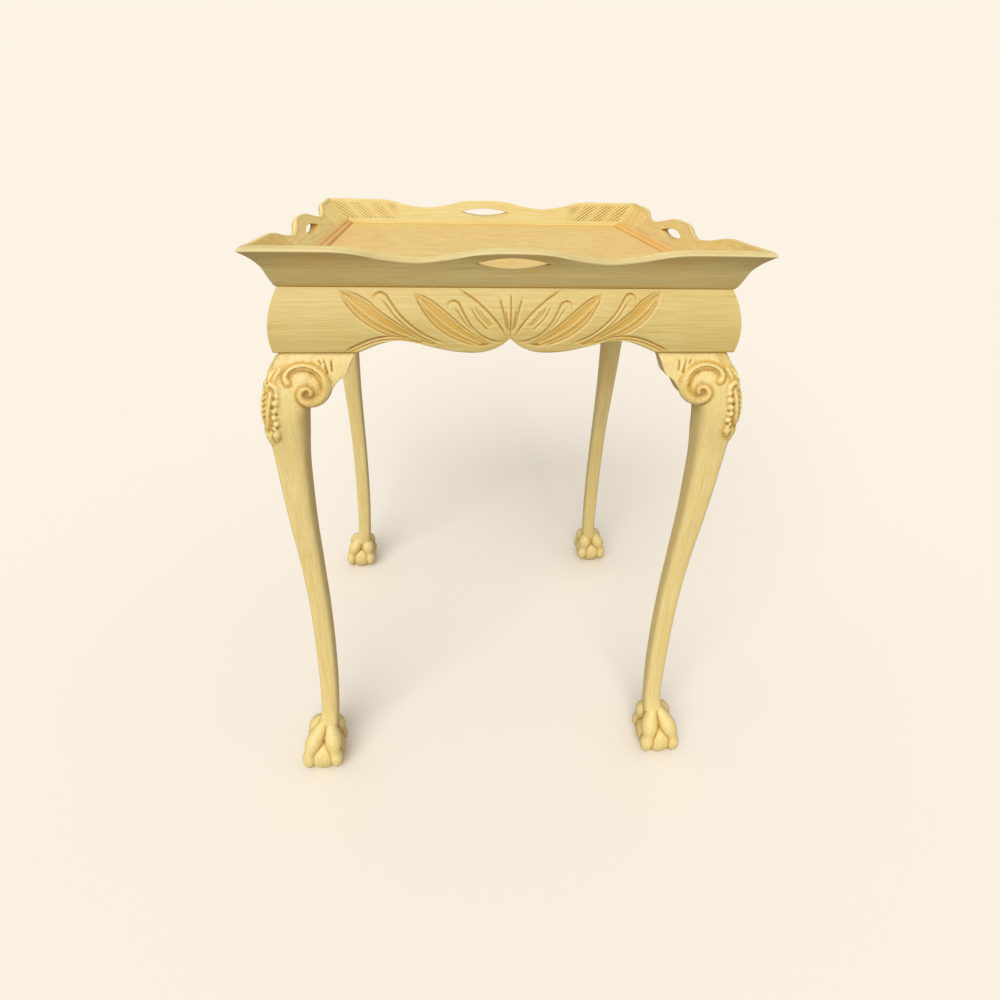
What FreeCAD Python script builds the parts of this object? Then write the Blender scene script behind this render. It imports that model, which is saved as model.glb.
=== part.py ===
import FreeCAD
import Part
import math
import os
import re
import Sketcher

# A tea table of painted wood: a lift-off gallery tray on a frame with four cabriole legs.
# The origin is on the floor under the middle of the table, with the front at -Y and +Z up.
# An inset is measured level, inwards from the tip of the tray's rim.

SIZES = {
    # the whole table, over the tips of the tray's rim
    "tray_width": 488.0,
    "tray_depth": 440.0,
    "rim_height": 688.0,
    "wall_height": 40.0,
    # tray walls: section
    "lip_drop": 3.0,
    "rim_thick": 8.0,
    "wall_flare": 23.0,
    "wall_hollow": 3.0,
    "wall_foot": 7.0,
    # tray walls: serpentine rim and hand hole
    "corner_flat": 91.0,
    "hump_half": 35.0,
    "rim_dip": 10.5,
    "crest_ease": 0.5,
    "hole_length": 68.0,
    "hole_height": 11.0,
    "hole_drop": 14.0,
    # tray floor and the bead round it
    "floor_lift": 2.0,
    "tongue_thick": 5.0,
    "field_rise": 2.0,
    "floor_lap": 6.0,
    "floor_fit": 0.3,
    "bead_width": 9.0,
    "bead_height": 8.0,
    "bead_swell": 2.1,
    # frame rails
    "rail_height": 63.0,
    "rail_foot_inset": 14.5,
    "rail_bulge": 6.0,
    "rail_back": 33.0,
    "arch_rise": 12.0,
    "drop_half": 36.0,
    "notch_rise": 14.5,
    # leg post and the sections of the leg, from the top down
    "post_back": 58.0,
    "post_drop": 16.0,
    "post_chamfer": 8.0,
    "knee_step": 4.0,
    "knee_drop": 128.0,
    "knee_outer": -1.5,
    "knee_inner": 42.0,
    "garter_drop": 178.0,
    "garter_outer": 3.2,
    "garter_inner": 37.0,
    "calf_drop": 258.0,
    "calf_outer": 8.2,
    "calf_inner": 36.0,
    "shin_drop": 358.0,
    "shin_outer": 14.8,
    "shin_inner": 38.3,
    "ankle_height": 140.0,
    "ankle_outer": 15.5,
    "ankle_inner": 38.8,
    "wrist_height": 88.0,
    "wrist_outer": 13.0,
    "wrist_inner": 36.5,
    "heel_height": 34.0,
    "heel_outer": -1.0,
    "heel_inner": 33.0,
    "arris_round": 0.55,
    # claw and ball foot
    "foot_inset": 16.0,
    "ball_radius": 22.0,
    "ball_height": 20.0,
    "talon_top": 72.0,
    "talon_top_reach": 8.0,
    "talon_top_radius": 8.5,
    "knuckle_height": 54.0,
    "knuckle_reach": 20.0,
    "knuckle_radius": 9.5,
    "toe_height": 28.0,
    "toe_reach": 27.5,
    "toe_radius": 9.0,
    "claw_height": 5.5,
    "claw_reach": 25.0,
    "claw_radius": 5.0,
    "talon_waist": 0.86,
    # knee brackets
    "ear_reach": 96.0,
    "ear_end": 16.0,
    "ear_slant": 6.0,
    "ear_drop": 58.0,
    "ear_front": 6.0,
    "ear_swell": 5.0,
    "ear_set_back": 1.0,
    # corner blocks and their screws
    "block_run": 34.0,
    "block_height": 34.0,
    "screw_reach": 92.0,
    "screw_radius": 2.0,
    "screw_bite": 12.0,
    "screw_seat": 12.0,
    "screw_head_radius": 4.0,
    "screw_head": 3.0,
    "fit": 0.3,
    # hanger bolts
    "bolt_radius": 3.0,
    "bolt_bite": 22.0,
    "bolt_tail": 4.0,
    "bolt_point": 5.0,
    "bolt_point_radius": 1.5,
    "nut_radius": 5.8,
    "nut_height": 5.0,
    "washer_radius": 8.0,
    "washer_thick": 1.6,
    # locating cleats under the tray and their screws
    "cleat_width": 18.0,
    "cleat_height": 10.0,
    "cleat_play": 2.0,
    "cleat_screw_bite": 5.0,
    "cleat_screw_end": 60.0,
}

# Levels above the floor that follow from the sizes: the frame hangs from the tray's rim, and the
# upper stations of a leg hang from the top of the frame.
LEVELS = {
    "frame_top": "=rim_height - wall_height",
    "knee_height": "=frame_top - knee_drop",
    "garter_height": "=frame_top - garter_drop",
    "calf_height": "=frame_top - calf_drop",
    "shin_height": "=frame_top - shin_drop",
}

SPARE = 10.0        # how far a cutting shape runs past the piece that it cuts
ROOT_HALF = math.sqrt(0.5)

doc = FreeCAD.newDocument("TeaTable")
sheet = doc.addObject("Spreadsheet::Sheet", "Sizes")
for row, (name, value) in enumerate({**SIZES, **LEVELS}.items(), 1):
    sheet.set(f"A{row}", name)
    sheet.set(f"B{row}", str(value))
    sheet.setAlias(f"B{row}", name)
doc.recompute()

finished = []       # the sub-parts, in the order in which the table is put together


def size(name):
    """A driving dimension, read from the sheet."""
    return float(sheet.get(name))


def bound(text):
    """A formula in plain size names, as an expression on the sheet's cells."""
    return re.sub(r"[a-z][a-z_]*", r"Sizes.\g<0>", text)


def amount(text):
    """The present value of such a formula, in millimetres."""
    return float(sheet.evalExpression(text))


def bind(obj, prop, text):
    obj.setExpression(prop, bound(text))


def keep(obj, label):
    obj.Label = label
    finished.append(obj)
    return obj


# Heights and insets that several pieces share.

RAIL_FOOT = "(frame_top - rail_height)"
LIP = "(rim_height - lip_drop)"
FLOOR_UNDER = "(frame_top + floor_lift)"
FLOOR_SEAT = "(frame_top + floor_lift + tongue_thick)"
REBATE = "(wall_flare + wall_foot)"
WALL_INNER = "(wall_flare + wall_foot + floor_lap)"
BEAD_INNER = "(wall_flare + wall_foot + floor_lap + bead_width)"
KNEE_TOP_OUTER = "(rail_foot_inset + knee_step)"
POST_TOP = "(frame_top - post_drop)"
BLOCK_FACE = "(2 * post_back - post_chamfer - rail_back)"
BLOCK_BACK = f"({BLOCK_FACE} + block_run)"
SCREW_HEIGHT = f"({POST_TOP} - block_height / 2)"


# Sketch helpers: every corner of an outline is pinned to the sheet by its two coordinates,
# and a round stretch between two corners is an arc whose radius is bound as well.

def sketch_on(body, plane, name, offset=None):
    sketch = body.newObject("Sketcher::SketchObject", name)
    plane_of = {feature.Role: feature for feature in body.Origin.OriginFeatures}
    sketch.AttachmentSupport = [(plane_of[plane], "")]
    sketch.MapMode = "FlatFace"
    if offset:
        bind(sketch, "AttachmentOffset.Base.z", offset)
    return sketch


def pin(sketch, geometry, position, x, y):
    for kind, text in (("DistanceX", x), ("DistanceY", y)):
        rule = Sketcher.Constraint(kind, -1, 1, geometry, position, amount(text))
        index = sketch.addConstraint(rule)
        bind(sketch, f"Constraints[{index}]", text)


def bend(start, end, radius, left):
    """The shorter arc between two corners, on the left or right of the way; it always runs anticlockwise."""
    chord = end - start
    across = FreeCAD.Vector(-chord.y, chord.x, 0).normalize()
    depth = math.sqrt(max(radius ** 2 - (chord.Length / 2) ** 2, 0.0))
    centre = (start + end) * 0.5 - across * (depth if left else -depth)
    ends = (end, start) if left else (start, end)
    angles = [math.atan2(place.y - centre.y, place.x - centre.x) for place in ends]
    return Part.ArcOfCircle(Part.Circle(centre, FreeCAD.Vector(0, 0, 1), radius), *angles)


def outline(sketch, corners, bends=None):
    """A closed outline. bends gives, by the corner where it starts, an arc's (radius, left)."""
    bends = bends or {}
    first = sketch.GeometryCount
    count = len(corners)
    places = [FreeCAD.Vector(amount(x), amount(y), 0) for x, y in corners]
    for index in range(count):
        start = places[index]
        end = places[(index + 1) % count]
        if index in bends:
            radius, left = bends[index]
            sketch.addGeometry(bend(start, end, amount(radius), left), False)
        else:
            sketch.addGeometry(Part.LineSegment(start, end), False)
    heads = [2 if index in bends and bends[index][1] else 1 for index in range(count)]
    for index, (x, y) in enumerate(corners):
        follower = (index + 1) % count
        tail = 3 - heads[index]
        joint = Sketcher.Constraint("Coincident", first + index, tail, first + follower, heads[follower])
        sketch.addConstraint(joint)
        pin(sketch, first + index, heads[index], x, y)
    for index, (radius, left) in bends.items():
        rule = sketch.addConstraint(Sketcher.Constraint("Radius", first + index, amount(radius)))
        bind(sketch, f"Constraints[{rule}]", radius)


def ring(sketch, x, y, radius):
    place = FreeCAD.Vector(amount(x), amount(y), 0)
    index = sketch.addGeometry(Part.Circle(place, FreeCAD.Vector(0, 0, 1), amount(radius)), False)
    pin(sketch, index, 3, x, y)
    rule = sketch.addConstraint(Sketcher.Constraint("Radius", index, amount(radius)))
    bind(sketch, f"Constraints[{rule}]", radius)


def rise_radius(run, rise):
    """Radius of an arc that rises by rise over the middle of a chord as long as run."""
    return f"(({run}) ^ 2 / (8 * ({rise})) + ({rise}) / 2)"


def chord_radius(across, along, rise):
    """The same for a slanting chord, given by its two legs."""
    return f"((({across}) ^ 2 + ({along}) ^ 2) / (8 * ({rise})) + ({rise}) / 2)"


def ogee_radius(run, drop):
    """Radius of the two equal arcs that take a level line down by drop over run, level again."""
    return f"((({run}) ^ 2 + ({drop}) ^ 2) / (4 * ({drop})))"


def pad(body, sketch, length):
    feature = body.newObject("PartDesign::Pad", "Run")
    feature.Profile = sketch
    feature.SideType = "Symmetric"
    bind(feature, "Length", length)
    return feature


def pocket(body, sketch, name):
    feature = body.newObject("PartDesign::Pocket", name)
    feature.Profile = sketch
    feature.Type = "ThroughAll"
    feature.SideType = "Symmetric"
    return feature


def mitred_length(body, profile, length, reach):
    """Run a section along a side and cut both ends on the diagonals of the plan."""
    pad(body, profile, f"{length} + 2 * {SPARE}")
    ends = sketch_on(body, "XY_Plane", "Mitres")
    for side in ("", "-"):
        tip = f"{side}({length} / 2 + {SPARE})"
        deep = f"{side}({length} / 2 - ({reach}) - {SPARE})"
        outline(ends, [(tip, f"-{SPARE}"), (tip, f"{reach} + {SPARE}"), (deep, f"{reach} + {SPARE}")])
    pocket(body, ends, "Mitre")


# Sides and corners of the plan. A piece is drawn in its own frame, where x runs along the side
# and y goes inwards, or at a corner with both x and y inwards, and is then turned into place.

SIDES = {
    "front": (0, "0 * tray_width", "-tray_depth / 2", "tray_width"),
    "right": (90, "tray_width / 2", "0 * tray_depth", "tray_depth"),
    "back": (180, "0 * tray_width", "tray_depth / 2", "tray_width"),
    "left": (270, "-tray_width / 2", "0 * tray_depth", "tray_depth"),
}
CORNERS = {
    "front_left": (0, "-tray_width / 2", "-tray_depth / 2"),
    "front_right": (90, "tray_width / 2", "-tray_depth / 2"),
    "back_right": (180, "tray_width / 2", "tray_depth / 2"),
    "back_left": (270, "-tray_width / 2", "tray_depth / 2"),
}


def turn(angle, axis=(0, 0, 1)):
    return FreeCAD.Rotation(FreeCAD.Vector(*axis), angle)


def put(obj, angle, x, y):
    obj.Placement = FreeCAD.Placement(FreeCAD.Vector(amount(x), amount(y), 0), turn(angle))
    bind(obj, "Placement.Base.x", x)
    bind(obj, "Placement.Base.y", y)


# Apron rails: a swelling section between the tray's foot line and the knees, with a lower edge of
# two arches and a centre drop that is notched in the middle. They are mitred and glued together.

def make_rail(side):
    angle, x, y, length = SIDES[side]
    body = doc.addObject("PartDesign::Body", "Rail")
    section = sketch_on(body, "YZ_Plane", "Section")
    swell = chord_radius("wall_flare - rail_foot_inset", "rail_height", "rail_bulge")
    corners = [("wall_flare", "frame_top"), ("rail_back", "frame_top"), ("rail_back", RAIL_FOOT),
               ("rail_foot_inset", RAIL_FOOT)]
    outline(section, corners, {3: (swell, True)})
    mitred_length(body, section, length, "rail_back")

    edge = sketch_on(body, "XZ_Plane", "LowerEdge")
    arch_end = f"({length} / 2 - ear_reach)"
    arch = rise_radius(f"{arch_end} - drop_half", "arch_rise")
    drop = "((drop_half ^ 2 + notch_rise ^ 2) / (2 * notch_rise))"
    under = f"{RAIL_FOOT} - {SPARE}"
    corners = [(f"-{arch_end}", RAIL_FOOT), ("-drop_half", RAIL_FOOT),
               ("0 * drop_half", f"{RAIL_FOOT} + notch_rise"), ("drop_half", RAIL_FOOT),
               (arch_end, RAIL_FOOT), (arch_end, under), (f"-{arch_end}", under)]
    outline(edge, corners, {0: (arch, True), 1: (drop, False), 2: (drop, False), 3: (arch, True)})
    pocket(body, edge, "Scallop")

    pilots = sketch_on(body, "XZ_Plane", "Pilots", "-rail_back")
    for sign in ("", "-"):
        ring(pilots, f"{sign}({length} / 2 - screw_reach)", SCREW_HEIGHT, "screw_radius + fit")
    drilled = body.newObject("PartDesign::Pocket", "PilotHoles")
    drilled.Profile = pilots
    drilled.Reversed = True
    bind(drilled, "Length", "screw_bite + fit")
    put(body, angle, x, y)
    return keep(body, f"{side}_rail")


# Cabriole legs: one blank each, cut to a curve on two faces and rounded, so every level section
# is a square with rounded arrises on the corner's diagonal. The post stands inside the rails.

def rounded_square(outer, inner, height, rounding):
    radius = (inner - outer) / 2 * rounding
    low = outer + radius
    high = inner - radius
    edges = []
    for (x, y), start in (((high, low), -90), ((high, high), 0), ((low, high), 90), ((low, low), 180)):
        out = turn(start).multVec(FreeCAD.Vector(radius, 0, 0))
        over = turn(start + 90).multVec(FreeCAD.Vector(radius, 0, 0))
        between = turn(start + 45).multVec(FreeCAD.Vector(radius, 0, 0))
        centre = FreeCAD.Vector(x, y, height)
        edges.append((centre + out, centre + between, centre + over))
    wire = []
    for index, (start, middle, end) in enumerate(edges):
        wire.append(Part.Arc(start, middle, end).toShape())
        wire.append(Part.LineSegment(end, edges[(index + 1) % 4][0]).toShape())
    return Part.Wire(wire)


def limb(lower, upper, lower_radius, upper_radius):
    axis = upper - lower
    return Part.makeCone(lower_radius, upper_radius, axis.Length, lower, axis)


def talon(direction, middle):
    """One toe of the claw: three limbs with swelling joints, from the wrist down to the claw's tip."""
    joints = []
    for part in ("talon_top", "knuckle", "toe", "claw"):
        height = size(part if part == "talon_top" else f"{part}_height")
        place = middle + direction * size(f"{part}_reach") + FreeCAD.Vector(0, 0, height)
        joints.append((place, size(f"{part}_radius")))
    pieces = [Part.makeSphere(radius, place) for place, radius in joints]
    waist = size("talon_waist")
    for (high, high_radius), (low, low_radius) in zip(joints, joints[1:]):
        pieces.append(limb(low, high, low_radius * waist, high_radius * waist))
    return pieces


def leg_solid():
    rounding = size("arris_round")
    top = amount(RAIL_FOOT)
    sections = [rounded_square(amount(KNEE_TOP_OUTER), size("post_back"), top, rounding / 2)]
    for part in ("knee", "garter", "calf", "shin", "ankle", "wrist", "heel"):
        outer = size(f"{part}_outer")
        inner = size(f"{part}_inner")
        sections.append(rounded_square(outer, inner, size(f"{part}_height"), rounding))
    column = Part.makeLoft(sections, True)

    low = size("rail_back")
    wide = size("post_back") - low
    tall = amount(POST_TOP) - top
    post = Part.makeBox(wide, wide, tall, FreeCAD.Vector(low, low, top))
    back = size("post_back")
    chamfer = size("post_chamfer")
    lift = FreeCAD.Vector(0, 0, tall)
    corner = [FreeCAD.Vector(back, back, top), FreeCAD.Vector(back - chamfer, back, top),
              FreeCAD.Vector(back, back - chamfer, top)]
    post = post.cut(Part.Face(Part.makePolygon(corner + corner[:1])).extrude(lift))

    middle = FreeCAD.Vector(size("foot_inset"), size("foot_inset"), 0)
    claw = [Part.makeSphere(size("ball_radius"), middle + FreeCAD.Vector(0, 0, size("ball_height")))]
    for quarter in range(4):
        direction = turn(45 + 90 * quarter).multVec(FreeCAD.Vector(1, 0, 0))
        claw += talon(direction, middle)
    leg = column.multiFuse([post] + claw)

    reach = 4 * size("toe_reach")
    floor = Part.makeBox(reach, reach, reach, middle - FreeCAD.Vector(reach / 2, reach / 2, reach))
    leg = leg.cut(floor)
    return leg.cut(bolt_bore()).removeSplitter()


def bolt_bore():
    """The hole for the hanger bolt, blind, along the diagonal of the post from its chamfered face."""
    depth = size("bolt_bite") + size("fit")
    start = amount("(2 * post_back - post_chamfer) / 2") - depth * ROOT_HALF
    place = FreeCAD.Vector(start, start, amount(SCREW_HEIGHT))
    return Part.makeCylinder(size("bolt_radius") + size("fit"), depth + SPARE, place, FreeCAD.Vector(1, 1, 0))


def make_leg(corner, solid):
    leg = doc.addObject("Part::Feature", "Leg")
    leg.Shape = solid
    put(leg, *CORNERS[corner])
    return keep(leg, f"leg_{corner}")


# Knee brackets: an ear on each side of a knee, glued under the rail and fitted to the leg.
# Its outline is an ogee from a blunt end; its front swells out with the knee.

def ear_outline():
    top = amount(RAIL_FOOT)
    reach = size("ear_reach")
    tip = reach - size("ear_slant")
    end = top - size("ear_end")
    root = size("knee_inner") - SPARE
    low = top - size("ear_drop")
    knee = size("knee_inner")
    middle = FreeCAD.Vector((tip + knee) / 2, 0, (end + low) / 2)
    start = FreeCAD.Vector(tip, 0, end)
    foot = FreeCAD.Vector(knee, 0, low)
    swing = (foot - start).cross(FreeCAD.Vector(0, 1, 0)).normalize() * size("ear_swell")
    edges = [
        Part.LineSegment(FreeCAD.Vector(root, 0, top), FreeCAD.Vector(reach, 0, top)),
        Part.LineSegment(FreeCAD.Vector(reach, 0, top), start),
        Part.Arc(start, (start + middle) * 0.5 + swing, middle),
        Part.Arc(middle, (middle + foot) * 0.5 - swing, foot),
        Part.LineSegment(foot, FreeCAD.Vector(root, 0, low)),
        Part.LineSegment(FreeCAD.Vector(root, 0, low), FreeCAD.Vector(root, 0, top)),
    ]
    return Part.Face(Part.Wire([edge.toShape() for edge in edges]))


def ear_section():
    top = amount(RAIL_FOOT)
    low = top - size("ear_drop")
    back = size("rail_back")
    front = size("ear_front")
    set_back = size("ear_set_back")
    outer = amount(KNEE_TOP_OUTER) + set_back
    foot = FreeCAD.Vector(0, front + set_back, low)
    edges = [
        Part.Arc(FreeCAD.Vector(0, outer, top), FreeCAD.Vector(0, front, (top + low) / 2), foot),
        Part.LineSegment(foot, FreeCAD.Vector(0, back, low)),
        Part.LineSegment(FreeCAD.Vector(0, back, low), FreeCAD.Vector(0, back, top)),
        Part.LineSegment(FreeCAD.Vector(0, back, top), FreeCAD.Vector(0, outer, top)),
    ]
    return Part.Face(Part.Wire([edge.toShape() for edge in edges]))


def bracket_solid(leg):
    across = ear_outline().extrude(FreeCAD.Vector(0, size("rail_back"), 0))
    along = ear_section().extrude(FreeCAD.Vector(size("ear_reach"), 0, 0))
    return across.common(along).cut(leg).removeSplitter()


def make_brackets(corner, solid):
    mirrored = solid.mirror(FreeCAD.Vector(0, 0, 0), FreeCAD.Vector(1, -1, 0))
    angle = CORNERS[corner][0]
    along_x = angle % 180 == 0
    for shape, on_first in ((solid, True), (mirrored, False)):
        bracket = doc.addObject("Part::Feature", "Bracket")
        bracket.Shape = shape
        put(bracket, *CORNERS[corner])
        end, hand = corner.split("_")
        facing = end if on_first == along_x else hand
        keep(bracket, f"bracket_{corner}_{facing}")


# Corner blocks: a brace across each corner behind the leg post, glued and screwed to both rails,
# with a hanger bolt through it that holds the post.

def cylinder(name, radius, height, place, axis):
    tool = doc.addObject("Part::Cylinder", name)
    bind(tool, "Radius", radius)
    bind(tool, "Height", height)
    away = FreeCAD.Rotation(FreeCAD.Vector(0, 0, 1), FreeCAD.Vector(*axis))
    tool.Placement = FreeCAD.Placement(FreeCAD.Vector(*[amount(text) for text in place]), away)
    for letter, text in zip("xyz", place):
        bind(tool, f"Placement.Base.{letter}", text)
    return tool


def fused(name, pieces):
    joined = doc.addObject("Part::MultiFuse", name)
    joined.Shapes = pieces
    return joined


def cut(name, base, tool):
    result = doc.addObject("Part::Cut", name)
    result.Base = base
    result.Tool = tool
    return result


def screw_pieces(name, radius, head_radius, head_length, shank):
    """Two screws in one corner, or their holes, one into each rail: a head on its seat, and a shank."""
    seat = "rail_back + screw_seat"
    tip = f"{seat} - ({shank})"
    pieces = []
    for axis in ((0, 1, 0), (1, 0, 0)):
        for part, wide, long, start in (("Head", head_radius, head_length, seat),
                                        ("Shank", radius, shank, tip)):
            place = ["screw_reach", start] if axis[1] else [start, "screw_reach"]
            pieces.append(cylinder(f"{name}{part}", wide, long, place + [SCREW_HEIGHT], axis))
    return pieces


def diagonal(name, radius, start, length):
    """A round piece on the corner's diagonal, starting at a distance along it from the rim's corner."""
    place = [f"({start}) * {ROOT_HALF}", f"({start}) * {ROOT_HALF}", SCREW_HEIGHT]
    return cylinder(name, radius, length, place, (1, 1, 0))


POST_FACE = f"((2 * post_back - post_chamfer) * {ROOT_HALF})"
BLOCK_REAR = f"((rail_back + {BLOCK_BACK}) * {ROOT_HALF})"


def make_block(corner):
    body = doc.addObject("PartDesign::Body", "Block")
    plan = sketch_on(body, "XY_Plane", "Plan", SCREW_HEIGHT)
    outline(plan, [("rail_back", BLOCK_FACE), (BLOCK_FACE, "rail_back"),
                   (BLOCK_BACK, "rail_back"), ("rail_back", BLOCK_BACK)])
    pad(body, plan, "block_height")
    holes = screw_pieces("Bore", "screw_radius + fit", "screw_head_radius + fit", "block_run",
                         "2 * screw_seat")
    holes.append(diagonal("BoltBore", "bolt_radius + fit", POST_FACE, f"2 * {BLOCK_REAR} - {POST_FACE}"))
    block = cut("DrilledBlock", body, fused("Bores", holes))
    put(block, *CORNERS[corner])
    return keep(block, f"corner_block_{corner}")


def make_corner_group(label, pieces_for_corner):
    group = []
    for corner in CORNERS:
        piece = pieces_for_corner()
        put(piece, *CORNERS[corner])
        group.append(piece)
    together = doc.addObject("Part::Compound", "Group")
    together.Links = group
    return keep(together, label)


def corner_screws():
    shank = "screw_seat + screw_bite"
    return fused("Screws", screw_pieces("Screw", "screw_radius", "screw_head_radius", "screw_head", shank))


def leg_bolt():
    start = f"{POST_FACE} - bolt_bite"
    through = f"({BLOCK_REAR} - {POST_FACE}) + washer_thick + nut_height + bolt_tail"
    shaft = diagonal("Shaft", "bolt_radius", f"{start} + bolt_point", f"bolt_bite - bolt_point + {through}")
    point = diagonal("Point", "bolt_point_radius", start, "bolt_point")
    return fused("HangerBolt", [shaft, point])


def bolt_washer():
    disc = diagonal("Disc", "washer_radius", BLOCK_REAR, "washer_thick")
    return cut("Washer", disc, diagonal("Bore", "bolt_radius + fit", BLOCK_REAR, "washer_thick"))


def bolt_nut():
    seat = f"{BLOCK_REAR} + washer_thick"
    nut = doc.addObject("Part::Prism", "Nut")
    nut.Polygon = 6
    bind(nut, "Circumradius", "nut_radius")
    bind(nut, "Height", "nut_height")
    place = f"({seat}) * {ROOT_HALF}"
    away = FreeCAD.Rotation(FreeCAD.Vector(0, 0, 1), FreeCAD.Vector(1, 1, 0))
    at = FreeCAD.Vector(amount(place), amount(place), amount(SCREW_HEIGHT))
    nut.Placement = FreeCAD.Placement(at, away)
    for letter, text in (("x", place), ("y", place), ("z", SCREW_HEIGHT)):
        bind(nut, f"Placement.Base.{letter}", text)
    return cut("HexNut", nut, diagonal("Bore", "bolt_radius + fit", seat, "nut_height"))


# Tray walls: flared boards, hollow outside, mitred at the corners. The rim dips between a flat at
# each corner and a hump in the middle, where a pointed oval hand hole goes through.

def make_wall(side):
    angle, x, y, length = SIDES[side]
    body = doc.addObject("PartDesign::Body", "Wall")
    section = sketch_on(body, "YZ_Plane", "Section")
    hollow = chord_radius("wall_flare", f"{LIP} - frame_top", "wall_hollow")
    corners = [("0 * rim_thick", LIP), ("wall_flare", "frame_top"), (REBATE, "frame_top"),
               (REBATE, FLOOR_SEAT), (WALL_INNER, FLOOR_SEAT), ("rim_thick", "rim_height")]
    outline(section, corners, {0: (hollow, True)})
    mitred_length(body, section, length, WALL_INNER)

    rim = sketch_on(body, "XZ_Plane", "Rim")
    flat_end = f"({length} / 2 - corner_flat)"
    dip_place = f"(({flat_end} + hump_half) / 2)"
    half_run = f"({flat_end} - hump_half) / 2"
    sweep = ogee_radius(half_run, "rim_dip + crest_ease")
    crest = "rim_height + crest_ease"
    above = f"rim_height + {SPARE}"
    half_drop = "rim_height + (crest_ease - rim_dip) / 2"
    for sign, left in (("-", True), ("", False)):
        corners = [(f"{sign}{flat_end}", crest),
                   (f"{sign}({flat_end} + {dip_place}) / 2", half_drop),
                   (f"{sign}{dip_place}", "rim_height - rim_dip"),
                   (f"{sign}({dip_place} + hump_half) / 2", half_drop),
                   (f"{sign}hump_half", crest),
                   (f"{sign}hump_half", above), (f"{sign}{flat_end}", above)]
        over = (sweep, left)
        under = (sweep, not left)
        outline(rim, corners, {0: over, 1: under, 2: under, 3: over})
    pocket(body, rim, "Serpentine")

    grip = sketch_on(body, "XZ_Plane", "Grip")
    level = "rim_height - hole_drop"
    oval = rise_radius("hole_length", "hole_height / 2")
    tips = [("-hole_length / 2", level), ("hole_length / 2", level)]
    outline(grip, tips, {0: (oval, False), 1: (oval, False)})
    pocket(body, grip, "HandHole")
    put(body, angle, x, y)
    return keep(body, f"tray_{side}_wall")


# Inner bead: a quarter-round moulding mitred round the tray, standing on the floor's edge.

def make_bead(side):
    angle, x, y, length = SIDES[side]
    body = doc.addObject("PartDesign::Body", "Bead")
    section = sketch_on(body, "YZ_Plane", "Section")
    corners = [(WALL_INNER, FLOOR_SEAT), (BEAD_INNER, FLOOR_SEAT),
               (WALL_INNER, f"{FLOOR_SEAT} + bead_height")]
    round_face = chord_radius("bead_width", "bead_height", "bead_swell")
    outline(section, corners, {1: (round_face, False)})
    mitred_length(body, section, length, BEAD_INNER)
    put(body, angle, x, y)
    return keep(body, f"tray_{side}_bead")


# Tray floor: a fielded panel whose thin edge lies in the walls' rebate, under walls and beads.
# Two cleats are screwed on below and keep the tray in place inside the rails.

CLEAT_LENGTH = "(tray_width - 2 * rail_back - 2 * cleat_play)"
CLEAT_MIDDLE = "(tray_depth / 2 - rail_back - cleat_play - cleat_width / 2)"


def slab(name, length, width, height, lowest, middle="0 * tray_depth"):
    """A level board, centred on x, with its middle at the given y and its underside at lowest."""
    board = doc.addObject("Part::Box", name)
    bind(board, "Length", length)
    bind(board, "Width", width)
    bind(board, "Height", height)
    bind(board, "Placement.Base.x", f"-({length}) / 2")
    bind(board, "Placement.Base.y", f"{middle} - ({width}) / 2")
    bind(board, "Placement.Base.z", lowest)
    return board


def cleat_screw_places():
    for row in ("-", ""):
        for column in ("-1", "0", "1"):
            yield f"{column} * ({CLEAT_LENGTH} / 2 - cleat_screw_end)", f"{row}{CLEAT_MIDDLE}"


def cleat_screw_set(name, play):
    """The six screws, or with a little play their holes: heads sunk in the cleats, tips in the floor."""
    pieces = []
    under = f"{FLOOR_UNDER} - cleat_height"
    shank = f"cleat_height - screw_head + cleat_screw_bite + {play}"
    up = (0, 0, 1)
    for x, y in cleat_screw_places():
        start = f"{under} + screw_head"
        pieces.append(cylinder(f"{name}Head", f"screw_head_radius + {play}", "screw_head", [x, y, under], up))
        pieces.append(cylinder(f"{name}Shank", f"screw_radius + {play}", shank, [x, y, start], up))
    return fused(name, pieces)


def make_floor(holes):
    layers = []
    for name, edge, thick in (("Tongue", REBATE, "tongue_thick"),
                              ("Field", BEAD_INNER, "tongue_thick + field_rise")):
        margin = f"2 * ({edge} + floor_fit)"
        layers.append(slab(name, f"tray_width - {margin}", f"tray_depth - {margin}", thick, FLOOR_UNDER))
    return keep(cut("Floor", fused("Panel", layers), holes), "tray_floor")


def make_cleat(side, sign, holes):
    board = slab("Cleat", CLEAT_LENGTH, "cleat_width", "cleat_height", f"{FLOOR_UNDER} - cleat_height",
                 f"{sign}{CLEAT_MIDDLE}")
    return keep(cut("DrilledCleat", board, holes), f"tray_cleat_{side}")


# The frame, then the tray, piece by piece.

for side_name in SIDES:
    make_rail(side_name)
leg_shape = leg_solid()
bracket_shape = bracket_solid(leg_shape)
for corner_name in CORNERS:
    make_leg(corner_name, leg_shape)
    make_brackets(corner_name, bracket_shape)
    make_block(corner_name)
make_corner_group("corner_block_screws", corner_screws)
make_corner_group("leg_bolts", leg_bolt)
make_corner_group("leg_bolt_washers", bolt_washer)
make_corner_group("leg_bolt_nuts", bolt_nut)
for side_name in SIDES:
    make_wall(side_name)
    make_bead(side_name)
cleat_holes = cleat_screw_set("CleatBores", "fit")
make_floor(cleat_holes)
make_cleat("front", "-", cleat_holes)
make_cleat("back", "", cleat_holes)
keep(cleat_screw_set("CleatScrews", "0 * fit"), "tray_cleat_screws")

doc.recompute()
for obj in doc.Objects:
    if "Invalid" in obj.State or "Error" in obj.State:
        raise RuntimeError(f"{obj.Label} failed: {obj.State}")
for piece in finished:
    if piece.Shape.isNull() or not piece.Shape.isValid() or not piece.Shape.Solids:
        raise RuntimeError(f"{piece.Label} has no valid solid")

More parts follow.
